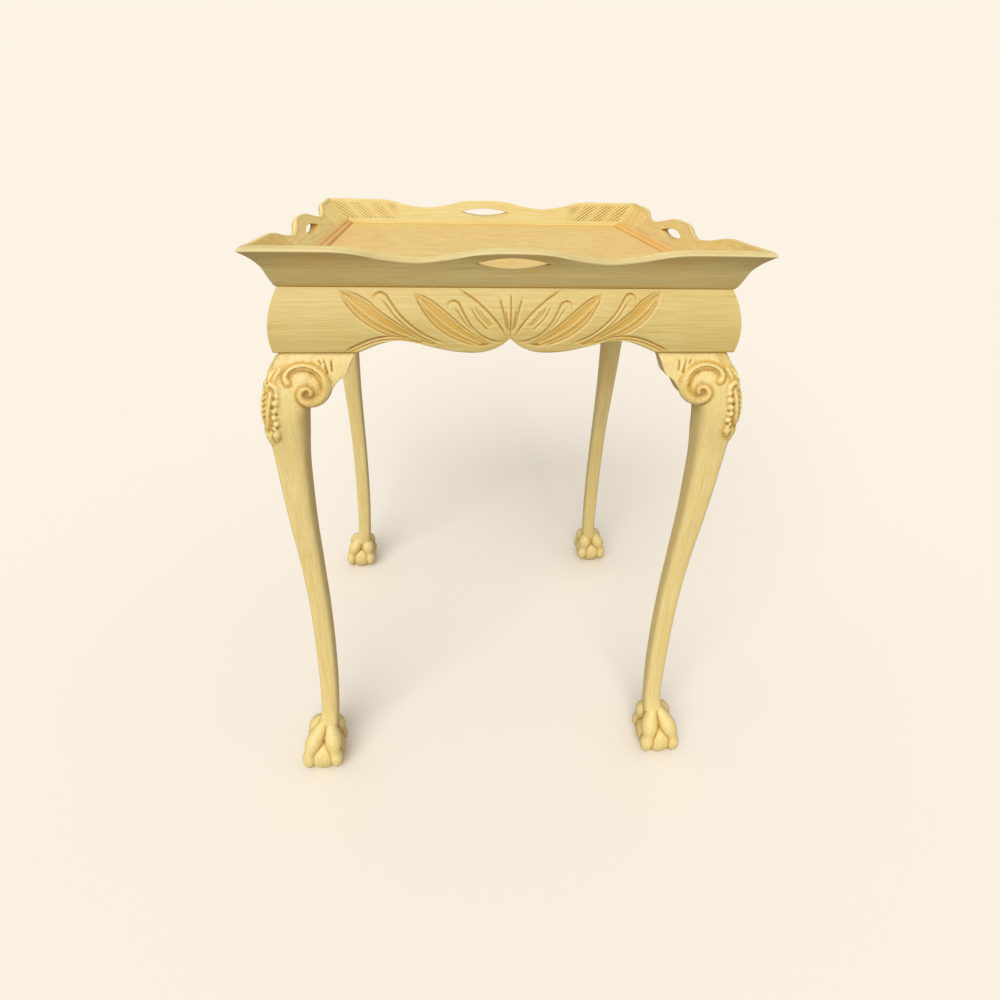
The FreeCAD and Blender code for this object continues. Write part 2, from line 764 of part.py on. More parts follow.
os.makedirs("parts", exist_ok=True)
for piece in finished:
    piece.Shape.exportStep(os.path.join("parts", f"{piece.Label}.step"))
    box = piece.Shape.BoundBox
    corners = [round(value, 1) for value in (box.XMin, box.YMin, box.ZMin, box.XMax, box.YMax, box.ZMax)]
    print(piece.Label, len(piece.Shape.Solids), round(piece.Shape.Volume), corners)
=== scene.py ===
import math

import bmesh
import bpy
import numpy as np
from mathutils import Matrix, Vector


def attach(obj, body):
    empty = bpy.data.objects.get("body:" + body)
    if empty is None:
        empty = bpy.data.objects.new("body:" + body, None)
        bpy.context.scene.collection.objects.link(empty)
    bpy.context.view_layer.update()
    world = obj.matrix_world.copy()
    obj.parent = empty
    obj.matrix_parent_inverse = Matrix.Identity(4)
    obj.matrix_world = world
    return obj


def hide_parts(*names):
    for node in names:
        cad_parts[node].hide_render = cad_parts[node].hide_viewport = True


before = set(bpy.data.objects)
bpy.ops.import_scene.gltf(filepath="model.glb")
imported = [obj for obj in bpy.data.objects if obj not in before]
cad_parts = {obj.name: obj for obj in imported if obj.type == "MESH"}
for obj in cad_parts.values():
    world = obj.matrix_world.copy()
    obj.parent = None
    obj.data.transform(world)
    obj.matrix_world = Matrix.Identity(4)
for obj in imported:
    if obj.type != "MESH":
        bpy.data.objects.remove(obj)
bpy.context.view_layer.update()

scene = bpy.context.scene


# Apron rails: four boards of pale hardwood with a swelling face, mitred and glued into a frame.
# The lower edge is sawn to two arches and a notched centre drop, and each face is carved by hand
# with two hollowed leaves and two curls on either side of a small fan, then painted and glazed.

TRAY_WIDTH = 488            # over the tips of the tray's rim, in millimetres as all sizes here
TRAY_DEPTH = 440
FRAME_TOP = 648
RAIL_FOOT = 585
RAIL_TOP_INSET = 23         # insets run inwards from the tips of the rim
RAIL_FOOT_INSET = 14.5
RAIL_BULGE = 5.2
RAIL_BACK = 33
EAR_REACH = 96              # inset where the ears of the knees end under the rails
MILLIMETRE = Matrix.Scale(0.001, 4)

# a side's turn in degrees, its place and its length; in its own frame x runs along it and y inwards
SIDES = {
    "front": (0, 0, -TRAY_DEPTH / 2, TRAY_WIDTH),
    "right": (90, TRAY_WIDTH / 2, 0, TRAY_DEPTH),
    "back": (180, 0, TRAY_DEPTH / 2, TRAY_WIDTH),
    "left": (270, -TRAY_WIDTH / 2, 0, TRAY_DEPTH),
}


def smooth_line(knots, spacing):
    """Points about a spacing apart on a smooth curve through the knots."""
    knots = np.asarray(knots, float)
    padded = np.vstack([2 * knots[0] - knots[1], knots, 2 * knots[-1] - knots[-2]])
    runs = []
    for before, start, end, after in zip(padded, padded[1:], padded[2:], padded[3:]):
        count = max(2, int(np.linalg.norm((end - start)[:3]) / spacing))
        t = np.linspace(0, 1, count, endpoint=False)[:, None]
        bend = (2 * before - 5 * start + 4 * end - after) * t ** 2
        twist = (3 * start - before - 3 * end + after) * t ** 3
        runs.append(start + 0.5 * ((end - before) * t + bend + twist))
    return np.vstack(runs + [knots[-1:]])


def part_way(value, start, end):
    """How far a value has come from a start to an end: 0 at the start and before it, 1 past the end."""
    return np.clip((value - start) / (end - start), 0, 1)


def reach_of(points, line):
    """How far each point is from a line of points, and how far along the line its nearest place is."""
    start = line[:-1]
    run = np.diff(line, axis=0)
    away = points[:, None] - start
    t = np.clip((away * run).sum(2) / (run ** 2).sum(1), 0, 1)
    gap = np.linalg.norm(away - t[..., None] * run, axis=2)
    nearest = gap.argmin(1)
    rows = np.arange(len(points))
    return gap[rows, nearest], (nearest + t[rows, nearest]) / len(start)


def gouge(points, strokes):
    """The depth that a set of tapering V cuts takes off at each point: (line, width, depth) each."""
    depth = np.zeros(len(points))
    for line, width, deep in strokes:
        low, high = line.min(0) - width, line.max(0) + width
        near = np.flatnonzero(((points > low) & (points < high)).all(1))
        if not len(near):
            continue
        gap, along = reach_of(points[near], line)
        taper = np.clip(np.minimum(along, 1 - along) / 0.12, 0.25, 1)
        cut = deep * taper * np.clip(1 - gap / width, 0, 1) ** 0.8
        depth[near] = np.maximum(depth[near], cut)
    return depth


def inside(points, outline):
    """Which points lie inside a closed flat outline."""
    x, z = points.T
    within = np.zeros(len(points), bool)
    for (ax, az), (bx, bz) in zip(outline, np.roll(outline, -1, axis=0)):
        if az == bz:
            continue
        crosses = ((az > z) != (bz > z)) & (x < (bx - ax) * (z - az) / (bz - az) + ax)
        within ^= crosses
    return within


def skin(bm, along, around, place):
    """A grid rolled into a closed skin: one side runs along the piece, the other round its section."""
    verts = bmesh.ops.create_grid(bm, x_segments=along, y_segments=around, size=0.5)["verts"]
    share = np.array([vert.co[:2] for vert in verts]) + 0.5
    for vert, point in zip(verts, place(share[:, 0], share[:, 1])):
        vert.co = point
    bmesh.ops.remove_doubles(bm, verts=verts, dist=1e-4)
    rims = [edge for edge in bm.edges if edge.is_boundary]
    bmesh.ops.holes_fill(bm, edges=rims, sides=0)
    bmesh.ops.recalc_face_normals(bm, faces=bm.faces)


def made_mesh(bm, name):
    """The finished bmesh as mesh data of that name."""
    mesh = bpy.data.meshes.new(name)
    bm.to_mesh(mesh)
    bm.free()
    return mesh


def placed(angle, x, y):
    """From a side's or a corner's own frame, in millimetres, to the table's: turned, then moved."""
    return MILLIMETRE @ Matrix.Translation((x, y, 0)) @ Matrix.Rotation(math.radians(angle), 4, "Z")


def read_points(mesh, what):
    """The places ("co") or the directions ("normal") of a mesh's points, a row for each."""
    values = np.empty(len(mesh.vertices) * 3)
    mesh.vertices.foreach_get(what, values)
    return values.reshape(-1, 3)


def mark_recesses(mesh, passes, full, seam, heavy):
    """Keeps how deep each point lies below the surface round it, -1 to 1, for the glaze and the wear.
    That surface is the mesh eased in a number of passes, and a full depth counts as 1. The glaze also
    gathers along a seam at the given height, where it is partly painted shade in the joint, and where more of
    it was left on."""
    # glaze along a seam, partly painted shade in the joint
    glaze_and_shade_at_seam = 0.75
    seam_fade = 3           # the height in which it falls off by 1
    count = len(mesh.vertices)
    points = read_points(mesh, "co")
    ends = np.empty(len(mesh.edges) * 2, int)
    mesh.edges.foreach_get("vertices", ends)
    ends = ends.reshape(-1, 2)
    near = np.concatenate([ends[:, 0], ends[:, 1]])
    far = np.concatenate([ends[:, 1], ends[:, 0]])
    links = np.maximum(np.bincount(near, minlength=count), 1)
    eased = points.copy()
    for _ in range(passes):
        for axis in range(3):
            eased[:, axis] += np.bincount(near, eased[far, axis], count) / links
        eased /= 2
    sunk = ((eased - points) * read_points(mesh, "normal")).sum(1) / (full * 0.001)
    sunk = np.maximum(sunk + heavy, glaze_and_shade_at_seam - np.abs(points[:, 2] * 1000 - seam) / seam_fade)
    recess = mesh.attributes.new("recess", "FLOAT", "POINT")
    recess.data.foreach_set("value", np.clip(sunk, -1, 1).astype(np.float32))


def install(name, mesh, material, body, slot, *nodes):
    """Makes the piece an object that rides on its body and stands for its CAD nodes."""
    mesh.polygons.foreach_set("use_smooth", np.ones(len(mesh.polygons), bool))
    mesh.set_sharp_from_angle(angle=math.radians(50))
    mesh.materials.clear()
    mesh.materials.append(material)
    piece = bpy.data.objects.new(name, mesh)
    scene.collection.objects.link(piece)
    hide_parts(*nodes)
    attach(piece, body)


def linear(code):
    """A colour written as #RRGGBB, in linear light."""
    shares = [int(code[at:at + 2], 16) / 255 for at in (1, 3, 5)]
    return [c / 12.92 if c <= 0.04045 else ((c + 0.055) / 1.055) ** 2.4 for c in shares] + [1]


def add(tree, kind, links=(), **settings):
    """A node with its settings, its inputs set or joined to other nodes' sockets."""
    node = tree.nodes.new(kind)
    for name, value in settings.items():
        setattr(node, name, value)
    for socket, value in dict(links).items():
        if isinstance(value, bpy.types.NodeSocket):
            tree.links.new(value, node.inputs[socket])
        else:
            node.inputs[socket].default_value = value
    return node


def new_material(name):
    """A material, its node tree, its shader and the piece's own coordinates."""
    material = bpy.data.materials.new(name)
    material.use_nodes = True
    tree = material.node_tree
    place = add(tree, "ShaderNodeTexCoord").outputs["Object"]
    return material, tree, tree.nodes["Principled BSDF"], place


def noise(tree, place, size, detail, roughness=0.5, distortion=0):
    """Noise with patches of a size in metres."""
    return add(tree, "ShaderNodeTexNoise",
               {"Vector": place, "Scale": 1 / size, "Detail": detail, "Roughness": roughness,
                "Distortion": distortion}).outputs["Fac"]


def drawn_noise(tree, place, sizes, detail, roughness=0.5, distortion=0, turn=0):
    """Noise with patches drawn out to a size along each axis, and turned on the level by an angle."""
    scale = [1 / size for size in sizes]
    drawn = add(tree, "ShaderNodeMapping", {"Vector": place, "Scale": scale, "Rotation": (0, 0, turn)})
    return noise(tree, drawn.outputs["Vector"], 1, detail, roughness, distortion)


def two_tones(tree, follows, start, dark, end, light):
    """A colour that runs from a dark tone to a light one as what it follows runs from start to end."""
    tone = add(tree, "ShaderNodeValToRGB", {"Fac": follows})
    for element, position, code in zip(tone.color_ramp.elements, (start, end), (dark, light)):
        element.position = position
        element.color = linear(code)
    return tone.outputs["Color"]


def layered(tree, colour, layers):
    """Layers over a colour: what each follows, from where to where, its strength there and its colour."""
    for follows, start, full, strength, code, blend in layers:
        share = add(tree, "ShaderNodeMapRange",
                    {"Value": follows, "From Min": start, "From Max": full, "To Min": 0, "To Max": strength},
                    interpolation_type=blend).outputs["Result"]
        colour = add(tree, "ShaderNodeMix", {"Factor": share, "A": colour, "B": linear(code)},
                     data_type="RGBA").outputs["Result"]
    return colour


def dress(tree, shader, colour, gloss, relief):
    """Gives a shader its colour, its roughness, as a pattern and the range that it runs over, and its
    relief, as a pattern, a strength and a depth in metres."""
    pattern, low, high = gloss
    rough = add(tree, "ShaderNodeMapRange", {"Value": pattern, "To Min": low, "To Max": high})
    height, strength, depth = relief
    bump = add(tree, "ShaderNodeBump", {"Height": height, "Strength": strength, "Distance": depth})
    tree.links.new(colour, shader.inputs["Base Color"])
    tree.links.new(rough.outputs["Result"], shader.inputs["Roughness"])
    tree.links.new(bump.outputs["Normal"], shader.inputs["Normal"])


def straw_paint(name, grain, dark, light, warm):
    """Straw-yellow oil paint brushed on carved hardwood, with an amber glaze wiped over it. The eye gets a
    satin surface streaked softly along the grain (0, 1 or 2 for X, Y or Z), amber to brown in recesses,
    where the glaze stayed, and pale on edges, where the paint is rubbed."""
    material, tree, shader, place = new_material(name)
    recess = add(tree, "ShaderNodeAttribute", attribute_name="recess").outputs["Fac"]
    mark = [0.0022] * 3     # a brush mark is about 2 mm wide and 60 mm long
    mark[grain] = 0.06
    streaks = drawn_noise(tree, place, mark, 5, 0.6)
    pore = [0.0009] * 3     # open pores, drawn coarser than real so that they show
    pore[grain] = 0.014
    pores = drawn_noise(tree, place, pore, 3, 0.55)
    # clouds in the paint are about 70 mm across, and specks of old wax under 2 mm
    clouds = noise(tree, place, 0.07, 3)
    wax = noise(tree, place, 0.0016, 2)
    patchy = add(tree, "ShaderNodeMath", {0: clouds, 1: 0.6}, operation="MULTIPLY").outputs["Value"]
    sunk = add(tree, "ShaderNodeMath", {0: recess, 1: patchy}, operation="ADD").outputs["Value"]

    colour = layered(tree, two_tones(tree, streaks, 0.3, dark, 0.62, light), [
        (clouds, 0.35, 0.7, 0.55, warm, "LINEAR"),
        (pores, 0.62, 0.78, 0.28, "#B58B42", "LINEAR"),
        (wax, 0.55, 0.75, 0.22, "#A9843F", "LINEAR"),
        (sunk, 0.36, 0.75, 0.8, "#C99C3C", "SMOOTHSTEP"),       # amber glaze in the recesses
        (sunk, 0.8, 1.3, 0.65, "#83602A", "SMOOTHSTEP"),        # brown where it pooled
        (recess, -0.15, -0.8, 0.55, "#EBD99F", "LINEAR"),       # pale where edges are rubbed
    ])
    relief = add(tree, "ShaderNodeMath", {0: streaks, 1: pores}, operation="ADD").outputs["Value"]
    dress(tree, shader, colour, gloss=(streaks, 0.42, 0.6), relief=(relief, 0.35, 0.0006))
    return material


RAIL_TONES = ("#C5AA60", "#D6C17A", "#D1B369")
RAIL_PAINT = {TRAY_WIDTH: straw_paint("Straw oil paint on long rails", 0, *RAIL_TONES),
              TRAY_DEPTH: straw_paint("Straw oil paint on short rails", 1, *RAIL_TONES)}

# the sawn lower edge of half a rail, as distance from the middle and height
LOWER_EDGE = smooth_line([(0, 599.6), (5, 595.2), (11.4, 590.8), (22, 586.6), (33, 585), (45, 585.2),
                          (60, 587), (76, 590.6), (90, 594.3), (103, 596.8), (114, 596.9), (124, 594.6),
                          (134, 590.9), (142, 587.4), (148, 585)], 2)

# the lines of the carving on half a rail's face, given in the same way
LEAF_OUTER_LOW = smooth_line([(162.6, 645), (157.8, 635), (146, 621), (130.6, 610), (115, 602.5),
                              (97.6, 598), (76.5, 592.5)], 3)
LEAF_OUTER_HIGH = smooth_line([(162.6, 645), (151, 642.5), (135.4, 635), (127.7, 628), (105.3, 612.5),
                               (87.9, 601.5), (70, 595)], 3)
LEAF_OUTER_RIB = smooth_line([(157, 639.5), (144, 628), (127, 615.5), (108, 605.5), (88, 598)], 3)
CURL_OUTER = smooth_line([(131.6, 634), (130.5, 640), (125.7, 643), (119.5, 641.5), (114, 634),
                          (105.3, 622.5), (93, 611), (80, 602), (62, 594.5)], 2)
CURL_OUTER_INNER = smooth_line([(125, 637.5), (119, 633), (110, 621), (97, 609), (82, 599.5)], 2)
LEAF_INNER_LOW = smooth_line([(92.7, 643.5), (86.9, 632), (75.7, 616), (59.7, 603), (44.2, 596),
                              (31.6, 592)], 3)
LEAF_INNER_HIGH = smooth_line([(92.7, 643.5), (75.7, 635.5), (60.7, 624), (46, 611.5), (27.7, 599),
                               (16, 594.5)], 3)
LEAF_INNER_RIB = smooth_line([(87, 637), (77, 626), (62, 613), (45, 602), (29, 595)], 3)
CURL_INNER = smooth_line([(60.5, 629), (60, 633.5), (55.5, 636), (50, 633.5), (45.5, 625), (38.8, 613.5),
                          (29, 604), (18, 598.3), (8, 596.5)], 2)
CURL_INNER_INNER = smooth_line([(55.5, 630.5), (51, 626), (44, 615.5), (34, 605.5), (22, 597.5)], 2)
LONG_VEIN = smooth_line([(50, 646.5), (33.5, 636), (18, 622), (8.5, 610), (4, 602.5)], 3)
VEINS = [smooth_line(line, 3) for line in (
    [(39.3, 631), (32, 619), (21, 608)], [(35, 631), (28.5, 621), (19, 611.5)],
    [(30.5, 628), (24.5, 619.5), (17, 613)])]
FAN = [smooth_line(line, 3) for line in (
    [(11, 639), (7, 625), (3, 608)], [(0, 643.5), (0, 630), (0, 604)],
    [(5.4, 628), (3.6, 617), (1.6, 607)])]

# width and depth of the V cuts along those lines
RAIL_CUTS = [(line, 1.5, 1.5) for line in (LEAF_OUTER_LOW, LEAF_OUTER_HIGH, LEAF_INNER_LOW, LEAF_INNER_HIGH)]
RAIL_CUTS += [(line, 1.5, 1.5) for line in (CURL_OUTER, CURL_INNER, LONG_VEIN)]
RAIL_CUTS += [(line, 1.3, 1.1) for line in (CURL_OUTER_INNER, CURL_INNER_INNER, *VEINS)]
RAIL_CUTS += [(line, 1.5, 1.3) for line in FAN]
HOLLOWS = [(LEAF_OUTER_LOW, LEAF_OUTER_HIGH, LEAF_OUTER_RIB),
           (LEAF_INNER_LOW, LEAF_INNER_HIGH, LEAF_INNER_RIB)]
ARCH_BEAD = smooth_line([(161, 585.5), (154, 590), (146, 593.8), (137, 597.8), (127, 600.6), (116, 601.9),
                         (104, 601.2), (92, 598.5)], 2)
ARCH_QUIRK = ARCH_BEAD + [-0.6, -3.0]
LEAF_HOLLOW = 1.5           # depth of a leaf, reached a slope's width in from its edges
LEAF_SLOPE = 3
LEAF_RIB = 0.8              # how far the rib along a leaf stands up in its hollow
RIB_WIDTH = 1.1
RIGHT_PULL = 4.7e-6         # draws a rail's right half in, with the cube of the distance
CUT_GLAZE = 0.42            # glaze left in a full cut
FULL_CUT = 1.3


def rail_carving(x, z):
    """The depth of the carving on a rail's face; its right half was set out a little narrower by eye."""
    edge_points = np.column_stack([np.abs(x), z])
    points = np.column_stack([np.abs(x) + np.where(x > 0, RIGHT_PULL * np.abs(x) ** 3, 0), z])
    depth = gouge(points, RAIL_CUTS)
    for low, high, rib in HOLLOWS:
        outline = np.vstack([low, high[::-1]])
        within = np.flatnonzero(inside(points, outline))
        leaf = points[within]
        edge = np.minimum(reach_of(leaf, low)[0], reach_of(leaf, high)[0])
        crest = np.exp(-(reach_of(leaf, rib)[0] / RIB_WIDTH) ** 2)
        hollow = LEAF_HOLLOW * part_way(edge, 0, LEAF_SLOPE) ** 0.6 - LEAF_RIB * crest
        depth[within] = np.maximum(depth[within], hollow)
    return np.maximum(depth, gouge(edge_points, [(ARCH_BEAD, 1.8, 1.8), (ARCH_QUIRK, 1.3, 1.3)]))


def rail_stretch(length):
    """How far the pattern of a long rail is stretched to fit between the ears of this one."""
    return (length / 2 - EAR_REACH) / (TRAY_WIDTH / 2 - EAR_REACH)


def rail_mesh(length):
    """A rail in its side's frame. The rows of its grid run round the section, down the face first."""
    stretch = rail_stretch(length)
    rows = {"shoulder": 4, "face": 76, "arris": 80, "foot": 86, "back": 92, "top": 98}
    ease = 1.6      # rounding of the two long edges of the face
    step = 0.85     # of the grid, along the rail

    def place(along, around):
        row = around * rows["top"]
        high = part_way(row, 0, rows["shoulder"]) * math.pi / 2
        low = part_way(row, rows["face"], rows["arris"]) * math.pi / 2
        share = part_way(row, rows["shoulder"], rows["face"])
        swell = RAIL_BULGE * 4 * share * (1 - share)
        inset = RAIL_TOP_INSET + (RAIL_FOOT_INSET - RAIL_TOP_INSET) * share - swell
        inset += ease * (1 - np.sin(high)) + ease * (1 - np.cos(low))
        inset += part_way(row, rows["arris"], rows["foot"]) * (RAIL_BACK - RAIL_FOOT_INSET - ease)
        inset -= part_way(row, rows["back"], rows["top"]) * (RAIL_BACK - RAIL_TOP_INSET - ease)
        x = (along * 2 - 1) * (length / 2 - inset)
        bottom = np.interp(np.abs(x) / stretch, *LOWER_EDGE.T, right=RAIL_FOOT)
        rise = 1 - share + part_way(row, rows["foot"], rows["back"])
        z = bottom + ease + rise * (FRAME_TOP - bottom - 2 * ease)
        z += ease * np.cos(high) * (row <= rows["shoulder"]) - ease * np.sin(low) * (row >= rows["face"])
        z += np.where(row > rows["foot"], ease * 2 * rise, 0)
        z = np.clip(z, bottom, FRAME_TOP)
        face = np.flatnonzero((row >= rows["shoulder"] - 1) & (row <= rows["arris"]))
        inset[face] += rail_carving(x[face] / stretch, z[face])
        return np.column_stack([x, inset, z])

    bm = bmesh.new()
    skin(bm, int(length / step), rows["top"], place)
    return bm


rail_meshes = {length: rail_mesh(length) for length in (TRAY_WIDTH, TRAY_DEPTH)}
rail_glaze = {}
for length, bm in rail_meshes.items():
    points = np.array([vert.co for vert in bm.verts])
    carved = rail_carving(points[:, 0] / rail_stretch(length), points[:, 2])
    by_face = points[:, 1] < RAIL_BACK - 6
    rail_glaze[length] = np.where(by_face, CUT_GLAZE * part_way(carved, 0, FULL_CUT), 0)
for side, (angle, x, y, length) in SIDES.items():
    bm = rail_meshes[length].copy()
    bmesh.ops.transform(bm, matrix=placed(angle, x, y), verts=bm.verts)
    mesh = made_mesh(bm, f"{side}_apron_rail")
    mark_recesses(mesh, passes=12, full=0.8, seam=RAIL_FOOT, heavy=rail_glaze[length])
    install(f"{side}_apron_rail", mesh, RAIL_PAINT[length], "frame", "painted_wood", f"{side}_rail")


# Cabriole legs with their knee brackets: each leg is one blank sawn to a curve on two faces, with a
# C scroll carved on each face of the knee, a beaded spray down its arris and a claw-and-ball foot.
# An ear is glued on each side of the knee, and is carved in one with it.

# a corner's turn in degrees, its place, and the rails that run off along its own x and y
CORNERS = {
    "front_left": (0, -TRAY_WIDTH / 2, -TRAY_DEPTH / 2, "front", "left"),
    "front_right": (90, TRAY_WIDTH / 2, -TRAY_DEPTH / 2, "right", "front"),
    "back_right": (180, TRAY_WIDTH / 2, TRAY_DEPTH / 2, "back", "right"),
    "back_left": (270, -TRAY_WIDTH / 2, TRAY_DEPTH / 2, "left", "back"),
}
# level sections of a leg: height, inset of the outer faces, inset of the inner faces, squareness
LEG_SECTIONS = smooth_line([
    (585, 18.5, 58, 6), (572, 11.5, 57, 5), (560, 5, 54.5, 4), (548, 1.3, 51, 3.6), (536, -0.6, 47, 3.5),
    (522, -1.7, 42.2, 3.4), (508, -0.8, 40.6, 3.4), (494, 1, 39.4, 3.6), (480, 2.7, 37.9, 3.8),
    (460, 4, 36.6, 4), (420, 6.2, 36, 4), (380, 8.9, 36, 4), (340, 12, 36.9, 4), (300, 14.4, 37.9, 4),
    (260, 16, 38.9, 4), (200, 16.6, 39.3, 4), (140, 16, 38.4, 3.8), (104, 15, 37, 3.4), (84, 13.8, 36, 3.1),
    (70, 11.4, 35.2, 3), (60, 8.4, 34.2, 2.9), (48, 4.5, 32.8, 2.7), (34, 1.5, 31, 2.6)], 4)[::-1]
# the side edge of an ear, and the front of its tip, as height and inset
EAR_EDGE = smooth_line([(531, 44), (531.6, 47), (532.8, 52), (535, 57), (538, 61), (542, 65), (547, 68.2),
                        (551.6, 71), (555.6, 74), (558.6, 77.6), (560.6, 81), (563, 83.4), (568, 85.6),
                        (576.5, 89), (585, 93.5)], 2)
EAR_TIP_FRONT = np.array([(530, 12), (560, 12.5), (575, 14.5), (585, 18.5)])
EAR_ROOT = 34               # inset where an ear's front leaves the knee's face, a step behind it
EAR_STEP = 1
EAR_SHOWS = 30              # inset past which an ear may stand in front of the knee
EAR_BURIED = 26             # inset of its end inside the leg
EAR_TUCK = 4                # how far its lower end runs back into the leg
EAR_TUCK_TOP = 541          # the heights between which it does so
EAR_TUCK_FOOT = 531
JOINT = 44                  # the face of the leg that an ear is glued to, as an inset
POST_TOP = 632
POST_BACK = 58              # inset of its inner faces
POST_CHAMFER = 8
POST_SINK = 6               # how far the post runs down into the knee


def section_at(z):
    """The insets and the squareness of the leg's section at a height."""
    return [np.interp(z, LEG_SECTIONS[:, 0], LEG_SECTIONS[:, column]) for column in (1, 2, 3)]


def leg_point(bearing, z):
    """The leg's surface at a height, in a direction from the middle of its section."""
    outer, inner, square = section_at(z)
    half = (inner - outer) / 2
    x, y = np.cos(bearing), np.sin(bearing)
    out = half / (np.abs(x) ** square + np.abs(y) ** square) ** (1 / square)
    return (inner + outer) / 2 + out * x, (inner + outer) / 2 + out * y


def ear_front(x, z):
    """The front of an ear: it falls back from the knee's face to the line of the rail."""
    outer = section_at(z)[0]
    run = part_way(x, EAR_ROOT, EAR_REACH)
    ease = run * run * (3 - 2 * run)
    tuck = EAR_TUCK * part_way(z, EAR_TUCK_TOP, EAR_TUCK_FOOT) ** 2
    return outer + EAR_STEP + tuck + (np.interp(z, *EAR_TIP_FRONT.T) - outer - EAR_STEP) * ease


def knee_front(x, z):
    """The frontmost surface of knee and ear at a place on the front."""
    outer, inner, square = section_at(z)
    half = (inner - outer) / 2
    across = part_way(np.abs(x - (inner + outer) / 2), 0, half)
    column = (inner + outer) / 2 - half * (1 - across ** square) ** (1 / square)
    return np.minimum(column, np.where(x > EAR_SHOWS, ear_front(x, z), np.inf))


def finished(blank):
    """The mesh that an object's curve or modifiers give; the object itself is taken out again."""
    scene.collection.objects.link(blank)
    mesh = bpy.data.meshes.new_from_object(blank.evaluated_get(bpy.context.evaluated_depsgraph_get()))
    bpy.data.objects.remove(blank)
    return mesh


def rolls(lines):
    """Tapering rolls with round ends along lines of (x, y, z, radius), in one mesh."""
    data = bpy.data.curves.new("rolls", "CURVE")
    data.dimensions = "3D"
    data.bevel_depth = 1
    data.bevel_resolution = 5
    data.use_fill_caps = True
    for knots in lines:
        line = smooth_line(knots, 1)
        for _ in range(2):
            tip = line[0]
            out = tip[:3] - line[1, :3]
            out *= tip[3] / np.linalg.norm(out)
            cap = [(*(tip[:3] + out * share), tip[3] * math.sqrt(1 - share ** 2))
                   for share in (0.98, 0.85, 0.6, 0.3)]
            line = np.vstack([cap, line])[::-1]
        spline = data.splines.new("POLY")
        spline.points.add(len(line) - 1)
        for point, (x, y, z, radius) in zip(spline.points, line):
            point.co = (x, y, z, 1)
            point.radius = radius
    return finished(bpy.data.objects.new("rolls", data))


def swapped(lines):
    """The same lines on the other face of a corner."""
    return [[(y, x, z, radius) for x, y, z, radius in line] for line in lines]


def on_front(places, sink):
    """Places on the knee's front, as (inset, height, radius), set into its surface."""
    return [(x, float(knee_front(x, z)) + sink * radius, z, radius) for x, z, radius in places]


def on_arris(places, sink):
    """Places by the knee's arris, as (degrees off it, height, radius), set into its surface."""
    diagonal = 225          # bearing of the arris, straight out from the corner
    made = []
    for degrees, z, radius in places:
        bearing = math.radians(diagonal + degrees)
        x, y = leg_point(bearing, z)
        made.append((x - sink * radius * math.cos(bearing), y - sink * radius * math.sin(bearing), z, radius))
    return made


# carving of the knee: on a face as inset, height and radius, and by the arris as on_arris takes it
C_SCROLL = [(27.8, 557.7, 4.1), (25.7, 562, 3.9), (27.8, 566.2, 3.9), (32.9, 569.7, 4.1),
            (40.5, 571.4, 4.3), (48.9, 570.4, 4.6), (56.3, 566.2, 5), (61.2, 559.5, 5.6),
            (63.2, 551.9, 6.1), (61.2, 545.3, 6.3), (56.7, 539.9, 6), (50.7, 537.2, 5.6),
            (44.9, 537.8, 5.2), (40.1, 541, 4.6), (38.5, 546, 4), (40.8, 550.4, 3.5), (45.4, 551.6, 3.1),
            (48.9, 548.9, 2.7), (48.4, 545.6, 2.1)]
C_SCROLL_LINE = [(27.5, 563.5), (30.3, 567.6), (37.1, 570.9), (43.9, 571.6), (49.7, 570.2), (57.1, 565),
                 (61, 558)]
ARRIS_RIB = [(12, 547, 1.6), (11.5, 541, 2.5), (10.8, 535, 2.8), (10, 528, 2.8), (9, 521, 2.5),
             (6, 514.5, 2.2), (2.5, 510.5, 1.5)]
ARRIS_BROW = [(-2, 550, 1.5), (2, 553.6, 2.2), (7, 556, 2.5), (15, 554.8, 2.6), (21.5, 551.8, 2.4),
              (24.5, 548, 1.8)]
ARRIS_SPRAY = [[(0, 558.5, 1.6), (1.5, 562.5, 2.2), (4.5, 568.5, 1.2)],
               [(12, 560, 1.4), (13, 564, 1.9), (15, 569.5, 1)]]
ARRIS_BEADS = [(26, 545, 2.6), (25.5, 538.2, 3.4), (25, 530.5, 3.1), (26, 523.6, 3.2), (29.5, 516.5, 3.2),
               (23, 511.5, 2.5)]
ARRIS_LOBES = [[(26, 508.5, 2.4), (23.5, 503.7, 4.1), (21, 498.5, 2.4)],
               [(12, 506, 1.8), (6, 500.5, 3), (8.5, 493.5, 1.8)],
               [(2, 504, 1.5), (-1, 498, 2.2), (2, 490.5, 1.4)]]
EAR_CUTS = [[(62, 578), (64, 571), (66.3, 564.2)], [(69.3, 577.5), (69.6, 571), (70.2, 565.7)],
            [(57, 577.5), (58.4, 575.5), (60, 573.5)]]
FEATHER_CUTS = [[(0, top), (4, top - 2.4), (8.5, top - 5.5)] for top in (548, 542, 536, 530, 524)]
DRILLED = [(-1, 557), (20.5, 543), (19.5, 533.5), (32, 526.5), (31, 512), (4, 507.5)]

FOOT_INSET = 14.5           # of the axis of the ball, and of the ankle above it
ANKLE_INSET = 25
ANKLE_HEIGHT = 90
BALL_RADIUS = 26.3
BALL_HEIGHT = 20
# a talon in its own upright plane: reach from the axis of ankle and foot, height, radius
TALON = [(3, 67, 4), (7.5, 61, 6.8), (12.5, 54, 9.2), (17, 47, 11.2), (20.2, 39.5, 10.4), (23, 31.5, 7.9),
         (25.2, 23, 9), (26, 15.5, 8.2), (25.4, 10.5, 5.6)]


